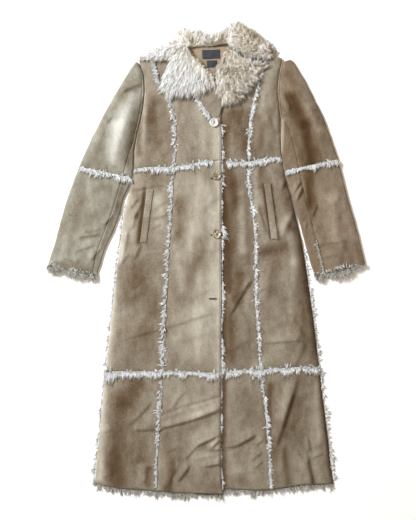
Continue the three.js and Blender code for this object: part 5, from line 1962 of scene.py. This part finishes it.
@dataclass(frozen=True)
class LapelFacings:
    """The turned-back lapels and the undercollar, the suede that the long pile is sewn to."""

    finishes: Finishes

    def build(self) -> None:
        """Makes the three pieces."""
        self.piece("right_lapel_facing", RIGHT_FACING, right_lapel_seat, "suede_right_front_upper_centre")
        self.piece("left_lapel_facing", LEFT_FACING, left_lapel_seat, "suede_left_front_upper_centre")
        self.piece("undercollar", UNDERCOLLAR, collar_level, "suede_back_upper")

    def piece(self, node_name: str, table: Table, seat: Height, below: str) -> None:
        """Makes one facing.

        Args:
            node_name: The solid that it stands for.
            table: Its edges.
            seat: The height of its underside.
            below: What it lies on; not used.
        """
        down, across = shares_for(160, 3.5), shares_for(110, 3.5)
        x, y = table_grid(table, down, across[None, :])
        edge = edge_distance(down, across, 150, 90)
        low = seat(x, y)
        # Two wrinkles cross the right lapel's bare corner.
        wrinkle = Crease(-4, 392, 30, 436, 1.3, 3, 8, 2).at(x, y)
        wrinkle = wrinkle + Crease(2, 410, 36, 416, 1.0, 3, 8).at(x, y)
        top = low + FACING + wrinkle + 0.25 * waves(x, y, 8, 50, 18) - 1.1 * np.exp(-edge / 1.6)
        outer = np.stack([x, y, top], -1)
        made = wall(f"suede_{node_name}", outer, np.stack([x, y, low], -1))
        dress(made, self.finishes.suede, "suede", node_name)


# Where the long pile is coloured darker and tanner, and where whiter: partly its own tan, partly painted
# shade on the coat's left and on the collar's shaded side, and painted light on the right lapel, nearer the
# lamp: x1, y1, x2, y2, tone, width
PILE_TINT_AND_SHADE = (
    (106, 588, 134, 554, -0.5, 22), (-52, 585, -40, 550, -0.35, 13), (20, 560, 45, 585, -0.15, 12),
    (-15, 575, 5, 560, -0.2, 12), (-75, 590, -70, 545, -0.2, 10), (60, 520, 70, 430, -0.38, 42),
    (120, 490, 90, 430, -0.16, 26), (90, 600, 150, 560, -0.28, 34), (10, 460, 20, 440, -0.35, 10),
    (-105, 480, -20, 450, 0.5, 45), (-170, 545, -110, 560, 0.3, 30), (62, 612, 66, 560, 0.3, 9),
    (130, 540, 170, 545, 0.25, 14), (85, 440, 150, 490, 0.2, 14),
)
# Strands, scatter, width, rise, sag, curl, wave, pile and rings
COLLAR_LAY = Lay(4, 1.9, 1.05, 24, 0.36, 0.13, 0.04, 2.0, 3)
SMOOTH_LAY = Lay(3, 2.2, 0.95, 20, 0.42, 0.05, 0.022, 5.0, 3)
WAVY_LAY = Lay(4, 2.2, 1.0, 22, 0.4, 0.13, 0.07, 5.0, 3)


# Patches of long pile, row by row: x and y at both ends of a row, and the way that the locks lie there
RIGHT_LEAF = (
    (-182, 526, -184, 534, 190, 180), (-160, 521, -168, 545, 215, 155), (-130, 522, -139, 566, 232, 150),
    (-100, 522, -106, 586, 245, 140), (-77, 528, -76, 600, 258, 112),
)
COLLAR_BACK = (
    (-74, 532, -76, 600, 262, 100), (-62, 545, -56, 604, 150, 88), (-48, 550, -36, 600, 70, 80),
    (-30, 552, -20, 596, 62, 75), (10, 554, 10, 588, 75, 80), (36, 560, 35, 600, 100, 70),
    (58, 560, 58, 618, 110, 85), (78, 550, 76, 624, 250, 95),
)
LEFT_LEAF = (
    (78, 548, 76, 624, 255, 95), (97, 535, 98, 610, 285, 60), (118, 529, 125, 586, 300, 30),
    (146, 528, 154, 566, 320, 20), (170, 531, 176, 550, 340, 0),
)
RIGHT_LAPEL = (
    (-8, 446, -108, 440, 266, 250), (18, 466, -120, 452, 268, 238), (14, 473, -118, 472, 268, 234),
    (-3, 491, -112, 487, 268, 232), (-21, 510, -106, 500, 268, 232), (-38, 526, -101, 513, 266, 234),
    (-50, 541, -92, 526, 262, 238), (-56, 553, -82, 538, 258, 240),
)
LEFT_LAPEL = (
    (42, 402, 54, 402, 290, 315), (38, 424, 78, 420, 285, 320), (26, 446, 100, 440, 275, 325),
    (24, 464, 120, 464, 268, 335), (28, 482, 138, 480, 262, 350), (34, 500, 156, 498, 262, 15),
    (42, 520, 118, 506, 266, 345), (56, 544, 84, 532, 268, 320),
)


def over_collar(x: Array, y: Array, s: Array) -> Array:
    """Works out what the collar's pile grows from: the undercollar, and the floor beyond it.

    Args:
        x: Places across.
        y: Places along.
        s: How far they are on the way from the neck to the collar's outer edge.

    Returns:
        Its height, in mm.
    """
    inside = collar_level(x, y) + FACING + 0.5
    return np.where(s < 0.62, inside, inside * (1 - smooth(0.62, 0.8, s)) + 0.6)


def over_right(x: Array, y: Array, s: Array) -> Array:
    """The upper face of the right lapel's facing."""
    return right_lapel_seat(x, y) + FACING + 0.5


def over_left(x: Array, y: Array, s: Array) -> Array:
    """The upper face of the left lapel's facing."""
    return left_lapel_seat(x, y) + FACING + 0.5


@dataclass(frozen=True)
class LongPile:
    """The collar and the lapels, in long shaggy pile."""

    finishes: Finishes

    def build(self) -> None:
        """Makes the five patches."""
        right_leaf = (over_collar, 9, 780, 23, 81, COLLAR_LAY, (4, 14), (0.14, 0))
        back = (over_collar, 11, 960, 21, 82, COLLAR_LAY, (1, 13))
        left_leaf = (over_collar, 10, 800, 23, 83, COLLAR_LAY, (5, 14), (0, 0.12))
        right_lapel = (over_right, 8, 1640, 40, 84, SMOOTH_LAY, (4, 8), (0, 0), (50, 10, 110), 5)
        left_lapel = (over_left, 8, 1240, 34, 85, WAVY_LAY, (-1, 14), (0.12, 0), (165, 10, 90), 22)
        fur, shaded = self.finishes.fur, self.finishes.shaded_fur
        for name, rows, looks, material in (
            ("collar_fur_right_leaf", RIGHT_LEAF, right_leaf, fur),
            ("collar_fur_back", COLLAR_BACK, back, fur),
            ("collar_fur_left_leaf", LEFT_LEAF, left_leaf, shaded),
            ("right_lapel_fur", RIGHT_LAPEL, right_lapel, fur),
            ("left_lapel_fur", LEFT_LAPEL, left_lapel, shaded),
        ):
            PilePatch(name, rows, *looks).build(material)


# Small pieces


def stitch_row(
    points: Array, lift: Height, pitch: float = 3.4, stitch: float = 2.3, radius: float = 0.33
) -> tuple[Array, Array]:
    """Stitches along a line, each a short closed eight-cornered prism that dips at its ends.

    Args:
        points: The line, as x and y in mm.
        lift: The height of the cloth.
        pitch: Distance between stitches.
        stitch: Length of a stitch.
        radius: Half the thread's width.

    Returns:
        Points and triangles.
    """
    gaps = np.linalg.norm(np.diff(points, axis=0), axis=1)
    run = np.concatenate([[0], np.cumsum(gaps)])
    starts = np.arange(pitch, run[-1] - pitch, pitch)
    steps = np.array([0, 0.5, 1.0]) * stitch
    rings = []
    for step, rise, thick in zip(steps, (-0.15, 0.3, -0.15), (0.55, 1.0, 0.55)):
        where = starts + step
        x, y = (np.interp(where, run, points[:, k]) for k in (0, 1))
        x2, y2 = (np.interp(where + 0.4, run, points[:, k]) for k in (0, 1))
        along = np.stack([x2 - x, y2 - y], -1)
        along /= np.linalg.norm(along, axis=1)[:, None] + 1e-9
        side = np.stack([-along[:, 1], along[:, 0], 0 * x], -1)
        centre = np.stack([x, y, lift(x, y) + rise + radius * 0.4], -1)
        for turn in (45, 135, 225, 315):
            wide = side * math.cos(math.radians(turn)) + np.array([0, 0, 1.0]) * math.sin(math.radians(turn))
            rings.append(centre + wide * radius * thick)
    verts = np.stack(rings, 1)
    faces = [[0, 2, 1], [0, 3, 2], [8, 9, 10], [8, 10, 11]]
    for r in (0, 4):
        for c in range(4):
            a, b = r + c, r + (c + 1) % 4
            faces += [[a, b, a + 4], [b, b + 4, a + 4]]
    count = len(starts)
    triangles = (np.array(faces)[None] + (np.arange(count) * 12)[:, None, None]).reshape(-1, 3)
    return verts.reshape(-1, 3), triangles


@dataclass(frozen=True)
class Welt:
    """A slanted pocket welt, a folded strip of suede that is sewn down along its ends."""

    node_name: str
    top: tuple[float, float]
    bottom: tuple[float, float]
    width: float
    surface: Height
    length: float = 140.0
    thickness: float = 2.3
    groove: float = 0.5
    groove_inset: float = 3.0

    def build(self, finishes: Finishes) -> None:
        """Makes the welt, with the grooves that its stitches pull.

        Args:
            finishes: The coat's materials.
        """
        down, across = shares_for(self.length, 4), shares_for(self.width, 2.4, (0.6, 1.4))
        table = (
            (self.bottom[0], self.bottom[1], self.bottom[0] + self.width, self.bottom[1]),
            (self.top[0], self.top[1], self.top[0] + self.width, self.top[1]),
        )
        x, y = table_grid(table, down, across[None, :])
        edge = edge_distance(down, across, self.length, self.width)
        low = self.surface(x, y) + 0.25
        puffed = self.thickness + 0.35 * waves(x, y, 12, 24, 9) - 1.3 * np.exp(-edge / 1.1)
        aside = np.minimum(across, 1 - across)[None, :] * self.width - self.groove_inset
        groove = self.groove * np.exp(-(aside**2) / 0.8)
        outer = np.stack([x, y, low + puffed - groove], -1)
        made = wall(f"suede_{self.node_name}", outer, np.stack([x, y, low], -1))
        dress(made, finishes.suede, "suede", self.node_name)


@dataclass(frozen=True)
class Topstitching:
    """Rows of stitches along the buttoned edge, the armholes and the welts."""

    finishes: Finishes

    def build(self) -> None:
        """Makes all rows as one piece."""
        parts = []
        for seam, offset, surface, sunk, start, end, count in (
            (FRONT_EDGE, -6.0, right_top, 0.15, -585, 350, 240),
            (RIGHT_SIDE, 5.0, right_top, 0.1, 500, 262, 80),
            (LEFT_SIDE, -5.0, left_top, 0.1, 500, 262, 80),
        ):
            y = np.linspace(start, end, count)
            line = np.stack([seam.at(y) + offset, y], -1)
            parts.append(stitch_row(line, lambda a, b, f=surface, s=sunk: f(a, b) - s))
        for welt in WELTS:
            for shift in (welt.groove_inset, welt.width - welt.groove_inset):
                ends = np.array([welt.bottom, welt.top]) + np.array([shift, 0])
                share = np.linspace(0.02, 0.98, 40)[:, None]
                line = ends[0] * (1 - share) + ends[1] * share
                parts.append(stitch_row(line, lambda a, b, f=welt.surface: f(a, b) + 2.05))
        points, triangles = combine(parts)
        made = mesh_object("topstitching", points, [triangles])
        dress(made, self.finishes.thread, "suede")


WELTS = (
    Welt("right_pocket_welt", (-158, 183), (-176, 45), 17, right_top),
    Welt("left_pocket_welt", (145.5, 197), (164, 53), 17, left_top),
)


@dataclass(frozen=True)
class Button:
    """A cast four-hole button, turned with a rim and a dished middle, sewn through with a cross of thread."""

    node_name: str
    x: float
    y: float
    tilt: float
    material: str
    radius: float = 11.5
    height: float = 4.2
    rim: float = 2.6
    slope: float = 1.5
    dish: float = 1.1
    well: float = 0.3
    rounding: float = 0.55
    hole: float = 1.15
    hole_circle: float = 3.0
    thread: float = 0.28
    thread_gap: float = 0.45

    def build(self, finishes: Finishes) -> None:
        """Makes the button and its thread.

        Args:
            finishes: The coat's materials.
        """
        seat = LAYER + CLOTH + OVERLAP + SEAT_LIFT
        raise_by = self.radius * math.sin(math.radians(self.tilt))
        centre = Vector((self.x, self.y, seat + self.height / 2 + raise_by)) * MM + Vector(ORIGIN)
        bpy.ops.object.select_all(action="DESELECT")
        radius, depth = self.radius * MM, self.height * MM
        bpy.ops.mesh.primitive_cylinder_add(vertices=48, radius=radius, depth=depth, location=centre)
        disc = bpy.context.active_object
        disc.name = f"turned_{self.node_name}"
        self.shape_face(disc)
        self.drill(disc, centre)
        disc.rotation_euler = (0, math.radians(self.tilt), 0)
        bpy.ops.object.select_all(action="DESELECT")
        disc.select_set(True)
        bpy.context.view_layer.objects.active = disc
        bpy.ops.object.transform_apply(location=True, rotation=True, scale=True)
        bpy.ops.object.shade_smooth_by_angle(angle=math.radians(35))
        dress(disc, getattr(finishes, self.material), f"button_{self.material}", self.node_name)
        self.sew(finishes, seat + raise_by)

    def shape_face(self, disc: bpy.types.Object) -> None:
        """Insets and sinks the upper face, then rounds the rims.

        Args:
            disc: The plain disc.
        """
        bpy.ops.object.mode_set(mode="EDIT")
        bpy.ops.mesh.select_mode(type="FACE")
        bpy.ops.mesh.select_all(action="DESELECT")
        bpy.ops.object.mode_set(mode="OBJECT")
        for face in disc.data.polygons:
            face.select = face.normal.z > 0.9
        bpy.ops.object.mode_set(mode="EDIT")
        bpy.ops.mesh.inset(thickness=self.rim * MM)
        for inset, sink in ((self.slope, self.dish), (self.rim, self.well)):
            bpy.ops.mesh.inset(thickness=inset * MM)
            bpy.ops.transform.translate(value=(0, 0, -sink * MM))
        bpy.ops.object.mode_set(mode="OBJECT")
        bevel = disc.modifiers.new("rims", "BEVEL")
        bevel.width = self.rounding * MM
        bevel.segments = 3
        bevel.limit_method = "ANGLE"
        bevel.angle_limit = math.radians(28)
        bpy.ops.object.modifier_apply(modifier=bevel.name)

    def drill(self, disc: bpy.types.Object, centre: Vector) -> None:
        """Cuts the four holes.

        Args:
            disc: The turned disc.
            centre: Its middle, in metres.
        """
        for turn in (45, 135, 225, 315):
            bpy.ops.object.select_all(action="DESELECT")
            a = math.radians(turn)
            spot = centre + Vector((math.cos(a), math.sin(a), 0)) * self.hole_circle * MM
            radius, depth = self.hole * MM, 4 * self.height * MM
            bpy.ops.mesh.primitive_cylinder_add(vertices=16, radius=radius, depth=depth, location=spot)
            drill = bpy.context.active_object
            hole = disc.modifiers.new("hole", "BOOLEAN")
            hole.operation = "DIFFERENCE"
            hole.object = drill
            bpy.ops.object.select_all(action="DESELECT")
            disc.select_set(True)
            bpy.context.view_layer.objects.active = disc
            bpy.ops.object.modifier_apply(modifier=hole.name)
            bpy.data.objects.remove(drill, do_unlink=True)

    def sew(self, finishes: Finishes, seat: float) -> None:
        """Lays the threads between opposite holes and down through them.

        Args:
            finishes: The coat's materials.
            seat: The height of the button's underside, in mm.
        """
        share = np.linspace(-1, 1, 9)
        reach = self.hole_circle * share
        top = seat + self.height - 1.25
        z = top + 0.55 * np.sqrt(np.clip(1 - share**2, 0, 1)) - 1.6 * (np.abs(share) > 0.95)
        parts = []
        for turn in (45, 135):
            c, s = math.cos(math.radians(turn)), math.sin(math.radians(turn))
            for shift in (-self.thread_gap, 0.0, self.thread_gap):
                x, y = self.x + reach * c - s * shift, self.y + reach * s + c * shift
                parts.append(tube(np.column_stack([x, y, z]), self.thread))
        points, triangles = combine(parts)
        made = mesh_object(f"thread_{self.node_name}", points, [triangles])
        dress(made, finishes.thread, "suede")


def tube(path: Array, radius: float, sides: int = 6) -> tuple[Array, Array]:
    """A closed round tube along a path.

    Args:
        path: Points in mm.
        radius: The tube's radius.
        sides: Sides of its section.

    Returns:
        Points and triangles.
    """
    tangent = np.gradient(path, axis=0)
    tangent /= np.linalg.norm(tangent, axis=1)[:, None]
    side = np.cross(tangent, [0.0, 0.0, 1.0])
    side /= np.linalg.norm(side, axis=1)[:, None] + 1e-9
    over = np.cross(side, tangent)
    turn = np.arange(sides) * 2 * math.pi / sides
    ring = side[:, None] * np.cos(turn)[None, :, None] + over[:, None] * np.sin(turn)[None, :, None]
    points = (path[:, None] + ring * radius).reshape(-1, 3)
    faces = []
    for r in range(len(path) - 1):
        for c in range(sides):
            a, b = r * sides + c, r * sides + (c + 1) % sides
            faces += [[a, a + sides, b], [b, a + sides, b + sides]]
    last = (len(path) - 1) * sides
    for c in range(1, sides - 1):
        faces += [[0, c, c + 1], [last, last + c + 1, last + c]]
    return points, np.array(faces)


@dataclass(frozen=True)
class Buttonhole:
    """A worked buttonhole: a near-black sheet as painted shadow in its slit, with close whip stitches round
    it.
    """

    x: float
    y: float
    length: float = 19.0
    open: float = 2.8
    thread: float = 0.33

    def build(self, finishes: Finishes, number: int) -> None:
        """Makes the slit and its stitches.

        Args:
            finishes: The coat's materials.
            number: The buttonhole's number from the top, for its pieces' names.
        """
        z = float(right_top(np.array(self.x), np.array(self.y))) + 0.22
        self.slit(finishes, number, z)
        half, wide = self.length / 2, self.open / 2
        parts = []
        for turn in np.linspace(0, 2 * math.pi, 45)[:-1]:
            c, s = math.cos(turn), math.sin(turn)
            out = np.array([c * 0.25, math.copysign(1, s) if abs(s) > 0.2 else s, 0])
            inner = np.array([self.x + half * c, self.y + wide * math.copysign(abs(s) ** 0.6, s), z])
            steps = np.array([-0.2, 0.3, 0.9, 1.4])[:, None]
            lift = np.array([0, 0, 1.0]) * np.array([-0.1, 0.35, 0.3, -0.25])[:, None]
            parts.append(tube(inner + out * steps + lift, self.thread, 5))
        points, triangles = combine(parts)
        stitches = mesh_object(f"buttonhole_stitches_{number}", points, [triangles])
        dress(stitches, finishes.thread, "suede")

    def slit(self, finishes: Finishes, number: int, z: float, corners: int = 48) -> None:
        """Makes the slit's painted shadow, a dark flat closed form with blunt ends.

        Args:
            finishes: The coat's materials.
            number: The buttonhole's number from the top.
            z: The height of its face, in mm.
            corners: How many corners its outline has.
        """
        turn = np.linspace(0, 2 * math.pi, corners + 1)[:-1]
        x = self.x + self.length / 2 * np.cos(turn)
        y = self.y + self.open / 2 * np.sign(np.sin(turn)) * np.abs(np.sin(turn)) ** 0.6
        ring = np.stack([x, y, 0 * x + z], -1)
        base = ring - np.array([0, 0, 0.5])
        top = np.arange(corners)
        after = np.roll(top, -1)
        sides = np.stack([top, top + corners, after + corners, after], -1)[:, ::-1]
        faces = [top[None, :], top[None, ::-1] + corners, sides]
        made = mesh_object(f"buttonhole_slit_{number}", np.concatenate([ring, base]), faces)
        made.data.polygons.foreach_set("use_smooth", np.zeros(len(made.data.polygons), bool))
        dress(made, finishes.slit_shadow, "suede")


@dataclass(frozen=True)
class Label:
    """A blank woven label, folded under at its ends and sewn on."""

    node_name: str
    x: float
    y: float
    width: float
    height: float
    turn: float
    thickness: float = 0.75

    def build(self, finishes: Finishes) -> None:
        """Makes the label.

        Args:
            finishes: The coat's materials.
        """
        down, across = shares_for(self.height, 2.5, (0.4, 1.0)), shares_for(self.width, 2.5, (0.4, 1.0))
        u = (across[None, :] - 0.5) * self.width + 0 * down[:, None]
        v = (down[:, None] - 0.5) * self.height + 0 * across[None, :]
        a = math.radians(self.turn)
        x = self.x + u * math.cos(a) - v * math.sin(a)
        y = self.y + u * math.sin(a) + v * math.cos(a)
        edge = np.minimum(self.width / 2 - np.abs(u), self.height / 2 - np.abs(v))
        low = LAYER + 2.6 + 0 * u
        top = low + self.thickness + 0.25 * waves(u, v, 15, 40, 18) - 0.3 * np.exp(-edge / 0.7)
        outer = np.stack([x, y, top], -1)
        made = wall(f"woven_{self.node_name}", outer, np.stack([x, y, low], -1))
        dress(made, finishes.label, "label", self.node_name)


@dataclass(frozen=True)
class NeckInside:
    """The facing inside the back of the neck, and its two blank labels."""

    finishes: Finishes
    thickness: float = 2.0

    def build(self) -> None:
        """Makes the facing and the labels."""
        y = np.linspace(470, 553, 30)
        left = np.minimum(FRONT_EDGE.at(y), 34) - 4
        right = UNDER_EDGE.at(y) + 3
        table = np.stack([left, y, right, y], -1)
        across = shares_for(110, 3.5)
        gx, gy = table_grid(table.tolist(), np.linspace(0, 1, 34), across[None, :])
        low = np.full(gx.shape, BACK_THICKNESS + 0.35)
        top = low + self.thickness + 0.35 * waves(gx, gy, 17, 70, 24)
        outer = np.stack([gx, gy, np.minimum(top, LAYER + 2.3)], -1)
        made = wall("facing_back_neck", outer, np.stack([gx, gy, low], -1))
        dress(made, self.finishes.facing, "suede_inside", "back_neck_lining")
        Label("neck_label", 8, 533.5, 46, 23, 2).build(self.finishes)
        Label("size_tag", 10, 508.5, 26, 18, 1.5).build(self.finishes)


# Stage


@dataclass(frozen=True)
class Studio:
    """A pale floor, light from the upper left as through a window, and a camera straight above."""

    floor_size: float = 12.0
    window_watts: float = 210.0
    window_size: float = 0.9
    window_place: tuple[float, float, float] = (-2.3, 1.5, 2.0)
    room_strength: float = 0.53

    def build(self) -> None:
        """Makes the floor, the lights and the camera."""
        self.floor()
        self.lights()
        self.camera()

    def floor(self) -> None:
        """Lays the floor."""
        bpy.ops.object.select_all(action="DESELECT")
        bpy.ops.mesh.primitive_plane_add(size=self.floor_size, location=(0, 0, -0.0002))
        made = bpy.context.active_object
        made.name = "floor"
        material, bsdf = shader("white_paper")
        place = node(material, "ShaderNodeTexCoord").outputs["Object"]
        fibre = node(material, "ShaderNodeTexNoise", {"Vector": place, "Scale": 40.0})
        stops = ((0.0, "FBFBFA"), (1.0, "FEFEFD"))
        tint = node(material, "ShaderNodeValToRGB", {"Fac": fibre.outputs["Fac"]}, stops)
        material.node_tree.links.new(tint.outputs["Color"], bsdf.inputs["Base Color"])
        bsdf.inputs["Roughness"].default_value = 0.95
        bsdf.inputs["Specular IOR Level"].default_value = 0.1
        made.data.materials.append(material)

    def lights(self) -> None:
        """Hangs one lamp to the upper left, as a window would be, and lights the room weakly and warmly."""
        lamp = bpy.data.lights.new("window", "AREA")
        lamp.energy = self.window_watts
        lamp.size = self.window_size
        lamp.color = srgb("F0F7FF")[:3]
        made = bpy.data.objects.new("window", lamp)
        made.location = self.window_place
        made.rotation_euler = (-Vector(self.window_place)).to_track_quat("-Z", "Y").to_euler()
        bpy.context.scene.collection.objects.link(made)
        world = bpy.data.worlds.new("room")
        bpy.context.scene.world = world
        world.use_nodes = True
        background = world.node_tree.nodes["Background"]
        background.inputs["Color"].default_value = srgb("FFEFDC")
        background.inputs["Strength"].default_value = self.room_strength

    def camera(self) -> None:
        """Sets the camera straight above, framed as the photo is."""
        data = bpy.data.cameras.new("above")
        made = bpy.data.objects.new("above", data)
        bpy.context.scene.collection.objects.link(made)
        made.location = (ORIGIN[0], ORIGIN[1], CAMERA_HEIGHT_MM * MM)
        data.sensor_width = 36.0
        long_side = max(PHOTO_SIZE) * PHOTO_MM_PER_PIXEL
        data.lens = data.sensor_width * CAMERA_HEIGHT_MM / long_side
        data.clip_start, data.clip_end = 0.05, 50.0
        bpy.context.scene.camera = made
        bpy.context.scene.view_settings.view_transform = "Standard"


def main() -> None:
    """Dresses the coat, one sub-assembly after another."""
    logging.basicConfig(level=logging.INFO, format="%(name)s: %(message)s")
    finishes = Finishes()
    Studio().build()
    Back(finishes).build()
    Fronts(finishes).build()
    RIGHT_SLEEVE.build(finishes)
    LEFT_SLEEVE.build(finishes)
    LapelFacings(finishes).build()
    NeckInside(finishes).build()
    for welt in WELTS:
        welt.build(finishes)
    Topstitching(finishes).build()
    SeamFur(finishes).build()
    LongPile(finishes).build()
    kinds = (("top", 5, "pearl"), ("middle", 0, "horn"), ("lower", 0, "horn"))
    for (name, tilt, material), (x, y) in zip(kinds, BUTTON_PLACES):
        Button(f"button_{name}", x, y, tilt, material).build(finishes)
    for number, (x, y) in enumerate(BUTTONHOLE_PLACES, 1):
        Buttonhole(x, y).build(finishes, number)
    meshes = [made.data for made in bpy.data.objects if made.type == "MESH"]
    log.info("%d triangles in all", sum(len(mesh.loops) - 2 * len(mesh.polygons) for mesh in meshes))


if __name__ == "__main__":
    main()
